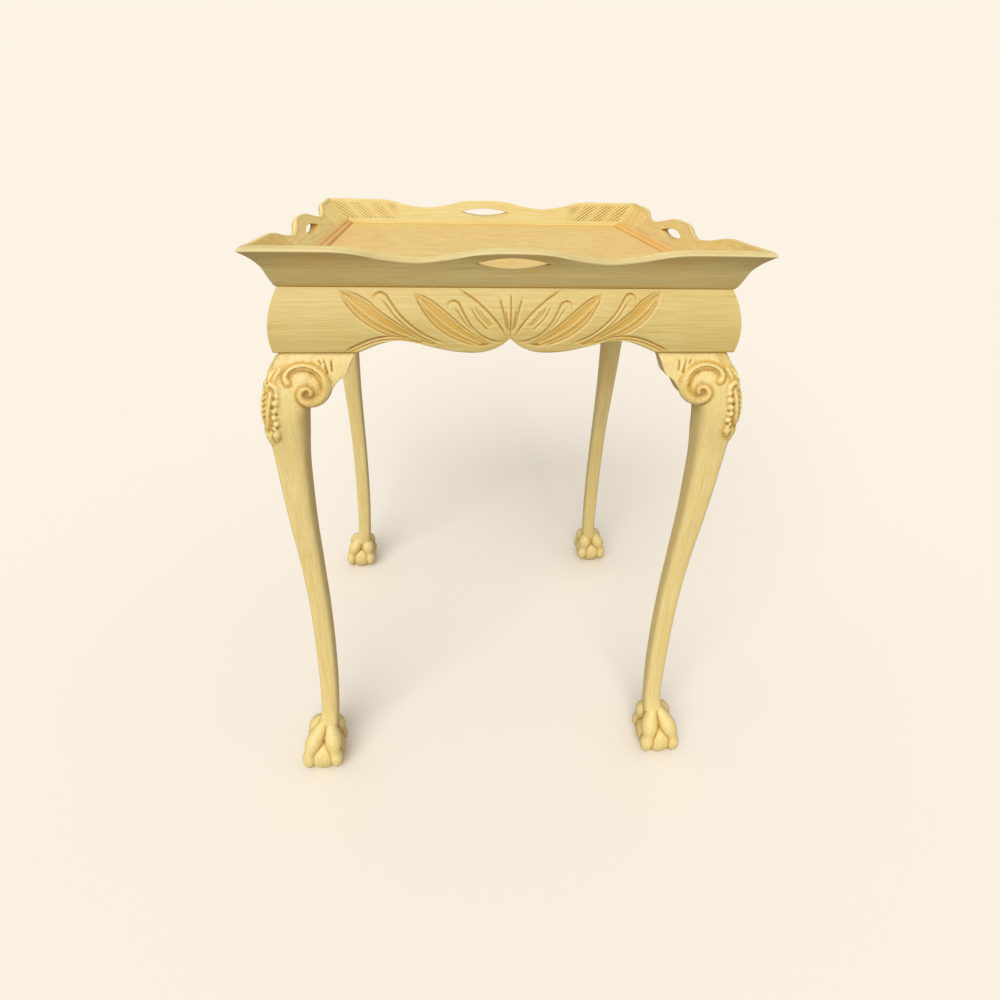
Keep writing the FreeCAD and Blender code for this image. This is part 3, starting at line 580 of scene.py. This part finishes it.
def leg_blank():
    """All that a leg and its two ears are made up of, as closed shapes that run into each other."""
    bm = bmesh.new()
    centre = Matrix.Translation((FOOT_INSET, FOOT_INSET, BALL_HEIGHT))
    bmesh.ops.create_uvsphere(bm, u_segments=48, v_segments=32, radius=BALL_RADIUS, matrix=centre)
    for x, y, z, radius in on_arris(ARRIS_BEADS, 0.1):
        for spot in ((x, y, z), (y, x, z)):
            bmesh.ops.create_uvsphere(bm, u_segments=20, v_segments=12, radius=radius,
                                      matrix=Matrix.Translation(spot))

    def column(along, around):
        z = LEG_SECTIONS[0, 0] + along * (RAIL_FOOT - LEG_SECTIONS[0, 0])
        x, y = leg_point(around * 2 * math.pi, z)
        return np.column_stack([x, y, z])

    skin(bm, 260, 72, column)

    def ear(along, around):
        z = EAR_EDGE[0, 0] + along * (RAIL_FOOT - EAR_EDGE[0, 0])
        edge = np.interp(z, *EAR_EDGE.T)
        loop = around * 4
        out = part_way(loop, 0, 1) - part_way(loop, 2, 3)
        deep = part_way(loop, 1, 2) - part_way(loop, 3, 4)
        x = EAR_BURIED + out * (edge - EAR_BURIED)
        front = ear_front(x, z)
        return np.column_stack([x, front + deep * (RAIL_BACK - front), z])

    for mirror in (False, True):
        shape = bmesh.new()
        skin(shape, 60, 120, ear)
        if mirror:
            for vert in shape.verts:
                vert.co = (vert.co.y, vert.co.x, vert.co.z)
            bmesh.ops.reverse_faces(shape, faces=shape.faces)
        bm.from_mesh(made_mesh(shape, "ear"))

    carving = [on_front(C_SCROLL, 0.5)]
    carving += [on_arris(line, 0.2) for line in (ARRIS_RIB, ARRIS_BROW, *ARRIS_SPRAY, *ARRIS_LOBES)]
    talons = []
    for quarter in range(4):
        bearing = math.radians(45 + 90 * quarter)
        line = []
        for out, z, radius in TALON:
            axis = float(np.interp(z, [LEG_SECTIONS[0, 0], ANKLE_HEIGHT], [FOOT_INSET, ANKLE_INSET]))
            line.append((axis + out * math.cos(bearing), axis + out * math.sin(bearing), z, radius))
        talons.append(line)
    bm.from_mesh(rolls(carving + swapped(carving) + talons))
    return bm


def fuse(bm, voxel, passes):
    """Runs overlapping shapes together into one skin, with the hollows between them eased."""
    blank = bpy.data.objects.new("blank", made_mesh(bm, "blank"))
    remesh = blank.modifiers.new("Fuse", "REMESH")
    remesh.mode = "VOXEL"
    remesh.voxel_size = voxel
    ease = blank.modifiers.new("Ease", "SMOOTH")
    ease.factor = 0.5
    ease.iterations = passes
    return finished(blank)


TOOLED_FOOT = 486           # from here up the ground of the carving keeps the marks of the tool
TOOLED_FULL = 498
TOOL_MARKS = 0.28           # depth of those marks


def carve_leg(mesh):
    """Cuts the lines of scrolls, ears and arris into a fused leg, and leaves tool marks on its knee."""
    points = read_points(mesh, "co")
    cuts = []       # each a line, the axes in which the distance from it counts, a width and a depth
    for line, width, deep in [(C_SCROLL_LINE, 1.5, 1)] + [(line, 1.7, 1.7) for line in EAR_CUTS]:
        front = np.array([(x, float(knee_front(x, z)) - 1.5, z) for x, z in smooth_line(line, 1.5)])
        cuts += [(front, [0, 2], width, deep), (front[:, [1, 0, 2]], [1, 2], width, deep)]
    feathers = [(line, 1.6, 1.5) for line in FEATHER_CUTS]
    drilled = [([(off, z + 0.3), (off, z - 0.3)], 2, 2.4) for off, z in DRILLED]
    for line, width, deep in feathers + drilled:
        arris = np.array(on_arris([(off, z, 1) for off, z in line], -0.7))[:, :3]
        cuts += [(arris, [0, 1, 2], width, deep), (arris[:, [1, 0, 2]], [0, 1, 2], width, deep)]
    depth = np.zeros(len(points))
    for line, plane, width, deep in cuts:
        low, high = line.min(0) - width - 3, line.max(0) + width + 3
        near = np.flatnonzero(((points > low) & (points < high)).all(1))
        gap, along = reach_of(points[near][:, plane], line[:, plane])
        taper = np.clip(np.minimum(along, 1 - along) / 0.1, 0.4, 1)
        depth[near] = np.maximum(depth[near], deep * taper * np.clip(1 - gap / width, 0, 1))
    marks = np.random.default_rng(7).uniform(0, TOOL_MARKS, len(points))
    ground = part_way(points[:, 2], TOOLED_FOOT, TOOLED_FULL) * (points[:, 2] < RAIL_FOOT - 2)
    points -= read_points(mesh, "normal") * (depth + marks * ground)[:, None]
    mesh.vertices.foreach_set("co", points.ravel())
    mesh.update()


def add_post(bm):
    """The square head of a leg inside the frame's corner, with its inner edge chamfered."""
    size = POST_BACK - RAIL_BACK
    middle = (POST_BACK + RAIL_BACK) / 2
    box = bmesh.ops.create_cube(bm, size=1)["verts"]
    bmesh.ops.scale(bm, vec=(size, size, POST_TOP - RAIL_FOOT + POST_SINK), verts=box)
    bmesh.ops.translate(bm, vec=(middle, middle, (POST_TOP + RAIL_FOOT - POST_SINK) / 2), verts=box)
    edges = {edge for vert in box for edge in vert.link_edges}
    inner_edge = [edge for edge in edges
                  if all(vert.co.x > middle and vert.co.y > middle for vert in edge.verts)]
    bmesh.ops.bevel(bm, geom=inner_edge, offset=POST_CHAMFER, offset_type="OFFSET", segments=1,
                    profile=0.5, affect="EDGES", material=-1)


# the legs' paint is lighter than the rails', as painted light for the light thrown up from the floor
LEGS_PAINTED_LIT = straw_paint("Straw oil paint with painted light on legs", 2, "#DABF77", "#EAD48F", "#E3C77C")
SCROLL_GLAZE = 0.45         # glaze left on a scroll, and on the ground beside it
HALO_GLAZE = 0.12
ARRIS_GLAZE = 0.36          # among the beads and feathers by the arris
FOOT_GLAZE = 0.1
KNEE_FOOT = 485             # the carving of the knee ends above this height

leg_mesh = fuse(leg_blank(), voxel=1, passes=3)
carve_leg(leg_mesh)
points = read_points(leg_mesh, "co")
leg_glaze = np.zeros(len(points))
scroll = smooth_line(C_SCROLL, 2)
knee = np.flatnonzero(points[:, 2] > KNEE_FOOT)
for across, deep in ((0, 1), (1, 0)):
    gap = reach_of(points[knee][:, [across, 2]], scroll[:, :2])[0]
    on_face = points[knee, deep] < points[knee, across]
    on_scroll = SCROLL_GLAZE * part_way(gap, 5.5, 3)
    beside = HALO_GLAZE * part_way(gap, 8.5, 5.5)
    leg_glaze[knee] += on_face * (on_scroll + beside)
leg_glaze += FOOT_GLAZE * part_way(points[:, 2], 75, 55)
off_arris = points[knee, :2].max(1) - points[knee, :2].min(1)
above = part_way(points[knee, 2], KNEE_FOOT, KNEE_FOOT + 12)
leg_glaze[knee] += ARRIS_GLAZE * part_way(off_arris, 17, 12) * above

# planes that part a leg from its ears, each as a place on it and the way to the side that is kept
ALONG_X = Vector((1, 0, 0))
ALONG_Y = Vector((0, 1, 0))
GROUND = (Vector((0, 0, 0)), Vector((0, 0, 1)))
LEG_PLANES = [GROUND, (ALONG_X * JOINT, -ALONG_X), (ALONG_Y * JOINT, -ALONG_Y)]
X_EAR_PLANES = [GROUND, (ALONG_X * JOINT, ALONG_X), (Vector((0, 0, 0)), ALONG_X - ALONG_Y)]
Y_EAR_PLANES = [GROUND, (ALONG_Y * JOINT, ALONG_Y), (Vector((0, 0, 0)), ALONG_Y - ALONG_X)]
EAR_LOWEST = 500            # what the planes leave of the foot below this isn't part of an ear

for corner, (angle, x, y, first, second) in CORNERS.items():
    place = placed(angle, x, y)
    whole = leg_mesh.copy()
    whole.transform(place)
    mark_recesses(whole, passes=24, full=0.9, seam=RAIL_FOOT, heavy=leg_glaze)
    whole.transform(place.inverted())
    for kind, name, planes in (("cabriole", f"leg_{corner}", LEG_PLANES),
                               ("knee", f"bracket_{corner}_{first}", X_EAR_PLANES),
                               ("knee", f"bracket_{corner}_{second}", Y_EAR_PLANES)):
        bm = bmesh.new()
        bm.from_mesh(whole)
        for spot, kept in planes:
            everything = bm.verts[:] + bm.edges[:] + bm.faces[:]
            bmesh.ops.bisect_plane(bm, geom=everything, plane_co=spot, plane_no=kept, clear_inner=True)
            bmesh.ops.holes_fill(bm, edges=[edge for edge in bm.edges if edge.is_boundary], sides=0)
        if kind == "cabriole":
            add_post(bm)
        else:
            strays = [vert for vert in bm.verts if vert.co.z < EAR_LOWEST or not vert.link_faces]
            bmesh.ops.delete(bm, geom=strays, context="VERTS")
        bmesh.ops.transform(bm, matrix=place, verts=bm.verts)
        install(f"{kind}_{name}", made_mesh(bm, name), LEGS_PAINTED_LIT, "frame", "painted_wood", name)


# Tray walls: flared boards, hollow outside, mitred and glued at the corners. The rim dips between a
# flat at each corner and a hump in the middle, is rounded over, and a pointed oval hand hole is sawn
# through under the hump. The inner faces are carved by the corners with slanting gadroon flutes.

RIM_HEIGHT = 688
RIM_LIP = 4.6               # how far below its crest the rounding of the rim starts, outside
RIM_BROW = 2.2              # and inside
RIM_CROWN = 3.3             # how far that rounding swells between its two ends
FLOOR_SEAT = 655
WALL_FOOT = 7               # thickness of a wall where it stands on the rail
WALL_INNER = 36
HEEL_RISE = 1.4             # rounding of the lower edge outside
HEEL_RUN = 1.6
# how far the rim drops from its full height, by the distance from the middle of a long wall
RIM_WAVE = smooth_line([(0, 0), (18, 0.4), (36, 2.2), (60, 7), (90, 10.5), (120, 7.5), (140, 2.5),
                        (154, 0.5), (172, 0), (244, 0)], 3)
# the two faces of a wall, as height and inset
OUTER_FACE = smooth_line([(648, 23), (651, 20.8), (658, 17.8), (667.4, 14.2), (676, 9.2), (682.4, 3.2),
                          (685, 0)], 1)
INNER_FACE = np.array([(655, 36), (688, 8)])
INTO_WALL = (-0.76, -0.65)  # the way square into the inner face, as inset and height
INNER_SLOPE = 43            # from the rim to the floor, down the inner face
HOLE_LENGTH = 68
HOLE_HEIGHT = 9.5
HOLE_DROP = 15.5            # from the rim's crest to the middle of the hole
HOLE_WAIST = 15             # how far inside the rim's tip the hole is at its narrowest
HOLE_FLARE = (1.16, 1, 1.6)  # how much larger it is at both faces: along, through and up
CORNER_FLARE = 3.0          # the rim sweeps out a little to the corners
FLARE_START = 62            # from the end of a wall, and where the sweep is full
FLARE_FULL = 12
FLARE_FOOT = 668            # the heights between which it grows
FLARE_HEAD = 684
FLUTE = 6.8                 # spacing of the flutes along the wall
FLUTE_DEPTH = 2
FLUTE_LEAN = 1.3            # how far a flute runs along the wall for each millimetre down it
FLUTED_REACH = 118          # from the corner to the last flute
LOBE = 27                   # spacing of the lobes in which the flutes are deepest
LOBE_LEAN = 0.8


def flute_depth(corner, inset, down):
    """How deep the flutes are, by the distance from the corner, the inset and the share of the way down.
    They fade out at the mitre, under the rim, above the bead and towards the middle of the wall."""
    drop = down * INNER_SLOPE
    flute = (0.5 - 0.5 * np.cos(2 * math.pi * (corner - FLUTE_LEAN * drop) / FLUTE)) ** 1.5
    lobes = 0.3 + 0.7 * np.abs(np.sin(math.pi * (corner - LOBE_LEAN * drop - 4) / LOBE))
    field = part_way(corner, FLUTED_REACH, FLUTED_REACH - 14) * part_way(corner - inset, 0, 5)
    field *= part_way(down, 0, 0.1) * part_way(down, 0.9, 0.7)
    return FLUTE_DEPTH * flute * lobes * field


def wall_mesh(length):
    """A wall in its side's frame, before its hand hole is sawn. The rows of its grid run round the
    section: up the outside, over the rim, down the inside and back under the floor's rebate."""
    step = 1.05         # of the grid, along the wall
    heel_face = np.interp(FRAME_TOP + HEEL_RISE, *OUTER_FACE.T)
    rows = {"heel": 3, "outer": 33, "rim": 45, "inner": 105, "seat": 108, "rebate": 111, "foot": 116}

    def place(along, around):
        row = around * rows["foot"]
        up = part_way(row, rows["heel"], rows["outer"])
        over = part_way(row, rows["outer"], rows["rim"])
        down = part_way(row, rows["rim"], rows["inner"])
        rough_x = (along * 2 - 1) * (length / 2 - 10)       # as the inset isn't known yet
        rim = RIM_HEIGHT - np.interp(np.abs(rough_x) * TRAY_WIDTH / length, *RIM_WAVE.T)
        lip = rim - RIM_LIP
        brow = rim - RIM_BROW
        z_out = FRAME_TOP + HEEL_RISE + up * (lip - FRAME_TOP - HEEL_RISE)
        in_out = np.interp(z_out, *OUTER_FACE.T)
        z_in = brow + down * (FLOOR_SEAT - brow)
        in_in = np.interp(z_in, *INNER_FACE.T)
        z = np.where(row <= rows["outer"], z_out, z_in)
        inset = np.where(row <= rows["outer"], in_out, in_in)
        top = (row > rows["outer"]) & (row < rows["rim"])
        lip_inset = np.interp(lip, *OUTER_FACE.T)
        brow_inset = np.interp(brow, *INNER_FACE.T)
        turn = over * math.pi
        middle_inset = (lip_inset + brow_inset) / 2 - np.cos(turn) * (brow_inset - lip_inset) / 2
        middle_z = lip + (brow - lip) * (1 - np.cos(turn)) / 2 + RIM_CROWN * np.sin(turn)
        inset = np.where(top, middle_inset, inset)
        z = np.where(top, np.minimum(middle_z, RIM_HEIGHT), z)

        heel = part_way(row, 0, rows["heel"])
        at_heel = row < rows["heel"]
        inset = np.where(at_heel, heel_face + HEEL_RUN * (1 - np.sin(heel * math.pi / 2)), inset)
        z = np.where(at_heel, FRAME_TOP + HEEL_RISE * (1 - np.cos(heel * math.pi / 2)), z)
        seat = part_way(row, rows["inner"], rows["seat"])
        fall = part_way(row, rows["seat"], rows["rebate"])
        back = part_way(row, rows["rebate"], rows["foot"])
        below = row > rows["inner"]
        heel_inset = heel_face + HEEL_RUN
        foot_inset = RAIL_TOP_INSET + WALL_FOOT
        under = WALL_INNER - seat * (WALL_INNER - foot_inset) - back * (foot_inset - heel_inset)
        inset = np.where(below, under, inset)
        z = np.where(below, FLOOR_SEAT - fall * (FLOOR_SEAT - FRAME_TOP), z)

        by_end = part_way(length / 2 - np.abs(rough_x), FLARE_START, FLARE_FULL) ** 2
        inset -= CORNER_FLARE * (by_end * part_way(z, FLARE_FOOT, FLARE_HEAD))
        x = (along * 2 - 1) * (length / 2 - inset)
        carved = np.flatnonzero((down > 0) & (down < 1))
        cut = flute_depth(length / 2 - np.abs(x[carved]), inset[carved], down[carved])
        inset[carved] += cut * INTO_WALL[0]
        z[carved] += cut * INTO_WALL[1]
        return np.column_stack([x, inset, z])

    bm = bmesh.new()
    skin(bm, int(length / step), rows["foot"], place)
    return bm


def hand_hole():
    """The pointed oval that is sawn through a wall, flared where its edges are eased on both faces."""
    bm = bmesh.new()
    radius = (HOLE_LENGTH ** 2 / 4 + HOLE_HEIGHT ** 2 / 4) / HOLE_HEIGHT
    half_angle = math.asin(HOLE_LENGTH / 2 / radius)
    level = RIM_HEIGHT - HOLE_DROP
    for sign in (1, -1):
        tip = bm.verts.new((-sign * HOLE_LENGTH / 2, 0, level))
        centre = (0, 0, level - sign * (radius - HOLE_HEIGHT / 2))
        bmesh.ops.spin(bm, geom=[tip], cent=centre, axis=(0, 1, 0), angle=2 * half_angle, steps=28)
    bmesh.ops.remove_doubles(bm, verts=bm.verts, dist=0.01)
    bmesh.ops.contextual_create(bm, geom=bm.edges[:])
    near = bm.verts[:]
    for _ in range(2):
        last = [face for face in bm.faces if len(face.verts) > 4][-1:]
        pushed = bmesh.ops.extrude_face_region(bm, geom=last)
        far = [item for item in pushed["geom"] if isinstance(item, bmesh.types.BMVert)]
        bmesh.ops.translate(bm, vec=(0, HOLE_WAIST, 0), verts=far)
    waist = [face for face in bm.faces if all(len(edge.link_faces) == 3 for edge in face.edges)]
    bmesh.ops.delete(bm, geom=waist, context="FACES_ONLY")
    middle = Matrix.Translation((0, 0, -level))
    bmesh.ops.scale(bm, vec=HOLE_FLARE, space=middle, verts=near + far)
    bmesh.ops.recalc_face_normals(bm, faces=bm.faces)
    return bm


# the outer faces carry painted shade, a duller tone than inside the tray, as they face down from the light;
# the insides carry painted light and are warmest inside the two short walls, the left one painted lighter
# and the right one darker to even out the light falling from the left
SHADED_OUTSIDE_TONES = ("#B9A163", "#C9B77C", "#C7AD6C")
SHADED_OUTSIDE_PAINT = {TRAY_WIDTH: straw_paint("Straw oil paint with painted shade on long walls", 0, *SHADED_OUTSIDE_TONES),
              TRAY_DEPTH: straw_paint("Straw oil paint with painted shade on short walls", 1, *SHADED_OUTSIDE_TONES)}
LIT_INSIDE_LONG_PAINT = straw_paint("Straw oil paint with painted light inside long walls", 0, "#C8AE66", "#DAC884", "#D6BA70")
LIT_INSIDE_PAINT = {"front": LIT_INSIDE_LONG_PAINT, "back": LIT_INSIDE_LONG_PAINT,
               "left": straw_paint("Straw oil paint with painted light inside left wall", 1, "#EBC870", "#FBE18A", "#F5D377"),
               "right": straw_paint("Straw oil paint inside right wall", 1, "#D4B062", "#E8CA7A", "#DFB968")}
GLAZE_AND_SHADE_AT_SEAT = 0.8            # glaze left where a wall stands on its rail, and painted shade in the line between them
HOLE_GLAZE = 0.12           # round a hand hole, and on its sawn edge

hole_mesh = made_mesh(hand_hole(), "hand_hole")
wall_meshes = {length: wall_mesh(length) for length in (TRAY_WIDTH, TRAY_DEPTH)}
for side, (angle, x, y, length) in SIDES.items():
    board = made_mesh(wall_meshes[length].copy(), "wall_board")
    blank = bpy.data.objects.new("wall_board", board)
    cutter = bpy.data.objects.new("hand_hole", hole_mesh)
    scene.collection.objects.link(cutter)
    saw = blank.modifiers.new("HandHole", "BOOLEAN")
    saw.operation = "DIFFERENCE"
    saw.solver = "EXACT"
    saw.object = cutter
    mesh = finished(blank)
    mesh.name = f"{side}_gallery_wall"
    bpy.data.objects.remove(cutter)
    points = read_points(mesh, "co")
    # distance from the middle of the hand hole, about 1 at its flared edge
    off = np.hypot(points[:, 0] / (HOLE_LENGTH * 0.6),
                   (points[:, 2] - RIM_HEIGHT + HOLE_DROP) / (HOLE_HEIGHT * 0.8))
    wall_glaze = HOLE_GLAZE * part_way(off, 1.2, 1)
    wall_glaze += GLAZE_AND_SHADE_AT_SEAT * part_way(points[:, 2], FRAME_TOP + 2, FRAME_TOP)
    centres = np.array([face.center for face in mesh.polygons])
    middle = (np.interp(centres[:, 2], *OUTER_FACE.T) + np.interp(centres[:, 2], *INNER_FACE.T)) / 2
    lit_faces = np.flatnonzero((centres[:, 1] > middle) & (centres[:, 2] > FLOOR_SEAT))
    mesh.transform(placed(angle, x, y))
    mark_recesses(mesh, passes=12, full=0.8, seam=FRAME_TOP + 0.2, heavy=wall_glaze)
    for sawn in np.flatnonzero(off < 1.02):
        mesh.attributes["recess"].data[sawn].value = HOLE_GLAZE
    install(f"{side}_gallery_wall", mesh, SHADED_OUTSIDE_PAINT[length], "tray", "painted_wood", f"tray_{side}_wall")
    # the faces inside the tray take the lighter paint, as painted light
    mesh.materials.append(LIT_INSIDE_PAINT[side])
    for face in lit_faces:
        mesh.polygons[face].material_index = 1


# Inner beads: a half-round moulding between two quirks, mitred round the tray and glued to the foot of
# the walls over the floor's edge. The two short ones are stained a deeper amber than the long ones.

# section of a bead, as inset and height
BEAD = np.array([(36, 655), (36, 663), (36.4, 662.9), (37.4, 662.6), (38.3, 661.8), (38.8, 660.8),
                 (38.9, 660.2), (39.3, 660.4), (40.6, 660.3), (42.2, 659.6), (43.6, 658.4), (44.5, 656.9),
                 (45, 655.4), (45, 655), (36, 655)])
BEAD_STAIN = {TRAY_WIDTH: straw_paint("Straw glaze on long beads", 0, "#D3B86C", "#DFC880", "#D9B968"),
              TRAY_DEPTH: straw_paint("Amber glaze on short beads", 1, "#E3A54E", "#F2C069", "#ECAF58")}


def bead_mesh(length):
    """A bead in its side's frame, mitred at both ends."""
    reach = np.arange(len(BEAD))

    def place(along, around):
        inset = np.interp(around * reach[-1], reach, BEAD[:, 0])
        z = np.interp(around * reach[-1], reach, BEAD[:, 1])
        return np.column_stack([(along * 2 - 1) * (length / 2 - inset), inset, z])

    bm = bmesh.new()
    skin(bm, 80, len(BEAD) - 1, place)
    return bm


for side, (angle, x, y, length) in SIDES.items():
    bm = bead_mesh(length)
    bmesh.ops.transform(bm, matrix=placed(angle, x, y), verts=bm.verts)
    mesh = made_mesh(bm, f"{side}_floor_bead")
    mark_recesses(mesh, passes=2, full=0.8, seam=FLOOR_SEAT + 1.5, heavy=0)
    install(f"{side}_floor_bead", mesh, BEAD_STAIN[length], "tray", "glazed_bead", f"tray_{side}_bead")


# Tray floor: a fielded panel of veneered board in a rebate of the walls, its grain along the table,
# stained golden with a wide brush and warmer towards the two ends.

# Stained veneer shows the eye fine straight grain under soft slanting brush strokes and small mottled
# patches, with the satin gloss of a thin finish.
veneer, tree, shader, place = new_material("Golden stained veneer")
# grain lines are drawn coarser than real so that they show, 2.4 mm by 110 mm; a stroke is 12 mm by 70 mm
grain = drawn_noise(tree, place, (0.11, 0.0024, 0.0024), 6, 0.6)
brush = drawn_noise(tree, place, (0.012, 0.07, 1), 4, distortion=1.2, turn=0.5)
mottle = noise(tree, place, 0.02, 5, 0.65)
across = add(tree, "ShaderNodeSeparateXYZ", {"Vector": place}).outputs["X"]
off_middle = add(tree, "ShaderNodeMath", {0: across}, operation="ABSOLUTE").outputs["Value"]
colour = layered(tree, two_tones(tree, grain, 0.32, "#DFB863", 0.64, "#F2D484"), [
    (brush, 0.4, 0.7, 0.7, "#EBC26E", "LINEAR"),
    (mottle, 0.45, 0.7, 0.75, "#DDB262", "LINEAR"),
    (off_middle, 0.12, 0.2, 0.3, "#E8B460", "LINEAR"),
])
dress(tree, shader, colour, gloss=(grain, 0.46, 0.62), relief=(grain, 0.25, 0.0004))
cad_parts["tray_floor"].material_slots[0].material = veneer


# Corner blocks and tray cleats: strips of bare beech, sawn and left unfinished inside the frame. Blocks
# are glued and screwed across the corners, cleats are screwed under the floor to centre the tray.

# Bare sawn beech looks matt and warm tan, with short grain lines and a tooth left by the saw. Both are
# drawn coarser than real so that they show: lines of 2 mm by 50 mm, and a tooth of about 1 mm.
beech, tree, shader, place = new_material("Bare sawn beech")
grain = drawn_noise(tree, place, (0.05, 0.002, 0.002), 5, 0.6)
tooth = noise(tree, place, 0.0011, 2)
colour = two_tones(tree, grain, 0.3, "#B98F5C", 0.66, "#DDBD8C")
dress(tree, shader, colour, gloss=(grain, 0.65, 0.85), relief=(tooth, 0.5, 0.0004))
for node in [f"corner_block_{corner}" for corner in CORNERS] + ["tray_cleat_front", "tray_cleat_back"]:
    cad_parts[node].material_slots[0].material = beech


# Screws, hanger bolts, washers and nuts of mild steel, plated against rust. The screws hold blocks and
# cleats, and a bolt in each leg's post is drawn up by its nut against the block.

# Zinc plating looks pale grey and half bright, with faint clouds about 2.5 mm across.
zinc, tree, shader, place = new_material("Zinc-plated steel")
spangle = noise(tree, place, 0.0025, 4)
colour = two_tones(tree, spangle, 0.35, "#8E9296", 0.68, "#C2C5C8")
shader.inputs["Metallic"].default_value = 1
dress(tree, shader, colour, gloss=(spangle, 0.3, 0.5), relief=(spangle, 0.2, 0.0002))
for node in ("corner_block_screws", "leg_bolts", "leg_bolt_washers", "leg_bolt_nuts", "tray_cleat_screws"):
    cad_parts[node].material_slots[0].material = zinc


# The stage: a plain pale floor, soft daylight from above and in front, and the camera close before the
# table, just above its rim and a little to the left of its middle, looking down.

PICTURE = 1000              # pixels along a side of the photograph
FOCAL_LENGTH = 588.9351     # in pixels, like the place where the line of sight meets the picture
SIGHT_ACROSS = 485.2245
SIGHT_DOWN = 408
CAMERA_SPOT = (-0.06546, -0.75445, 0.77910)     # in metres

camera_data = bpy.data.cameras.new("camera")
camera_data.sensor_width = 36
camera_data.lens = FOCAL_LENGTH / PICTURE * camera_data.sensor_width
camera_data.shift_x = (PICTURE / 2 - SIGHT_ACROSS) / PICTURE
camera_data.shift_y = (SIGHT_DOWN - PICTURE / 2) / PICTURE
camera_data.clip_start = 0.01
yaw, pitch, roll = 0.0775, 0.432, 0.0247        # turn to the right, tilt down and roll, in radians
look = Vector((math.sin(yaw) * math.cos(pitch), math.cos(yaw) * math.cos(pitch), -math.sin(pitch)))
level = Vector((math.cos(yaw), -math.sin(yaw), 0))
rise = level.cross(look)
right = level * math.cos(roll) + rise * math.sin(roll)
up = rise * math.cos(roll) - level * math.sin(roll)
camera = bpy.data.objects.new("camera", camera_data)
turned = Matrix((right, up, -look)).transposed().to_4x4()
camera.matrix_world = Matrix.Translation(CAMERA_SPOT) @ turned
scene.collection.objects.link(camera)
scene.camera = camera

bm = bmesh.new()
bmesh.ops.create_circle(bm, cap_ends=True, radius=30, segments=64)
floor_mesh = made_mesh(bm, "studio_floor")
studio_floor = bpy.data.objects.new("studio_floor", floor_mesh)
scene.collection.objects.link(studio_floor)
# Matt cream paper: floor and sky show the camera a plain pale tone, whatever light they give the table.
paper = bpy.data.materials.new("Cream paper")
paper.use_nodes = True
tree = paper.node_tree
seen = add(tree, "ShaderNodeLightPath").outputs["Is Camera Ray"]
tone = add(tree, "ShaderNodeMix", {"Factor": seen, "A": linear("#A39D92"), "B": linear("#F7EEDF")},
           data_type="RGBA")
shader = tree.nodes["Principled BSDF"]
tree.links.new(tone.outputs["Result"], shader.inputs["Base Color"])
shader.inputs["Roughness"].default_value = 1
shader.inputs["Specular IOR Level"].default_value = 0
floor_mesh.materials.append(paper)

SKY_LIGHT = 0.6
world = bpy.data.worlds.new("soft daylight")
scene.world = world
world.use_nodes = True
tree = world.node_tree
seen = add(tree, "ShaderNodeLightPath").outputs["Is Camera Ray"]
tone = add(tree, "ShaderNodeMix",
           {"Factor": seen, "A": (SKY_LIGHT, SKY_LIGHT, SKY_LIGHT, 1), "B": linear("#FCF3E4")},
           data_type="RGBA")
tree.links.new(tone.outputs["Result"], tree.nodes["Background"].inputs["Color"])

lamp = bpy.data.lights.new("daylight", "SUN")
lamp.angle = math.radians(50)
lamp.energy = 2.4
light = bpy.data.objects.new("daylight", lamp)
light.rotation_euler = Vector((0.3, 0.8, -0.62)).to_track_quat("-Z", "Y").to_euler()
scene.collection.objects.link(light)

scene.view_settings.view_transform = "Standard"
bpy.context.view_layer.update()
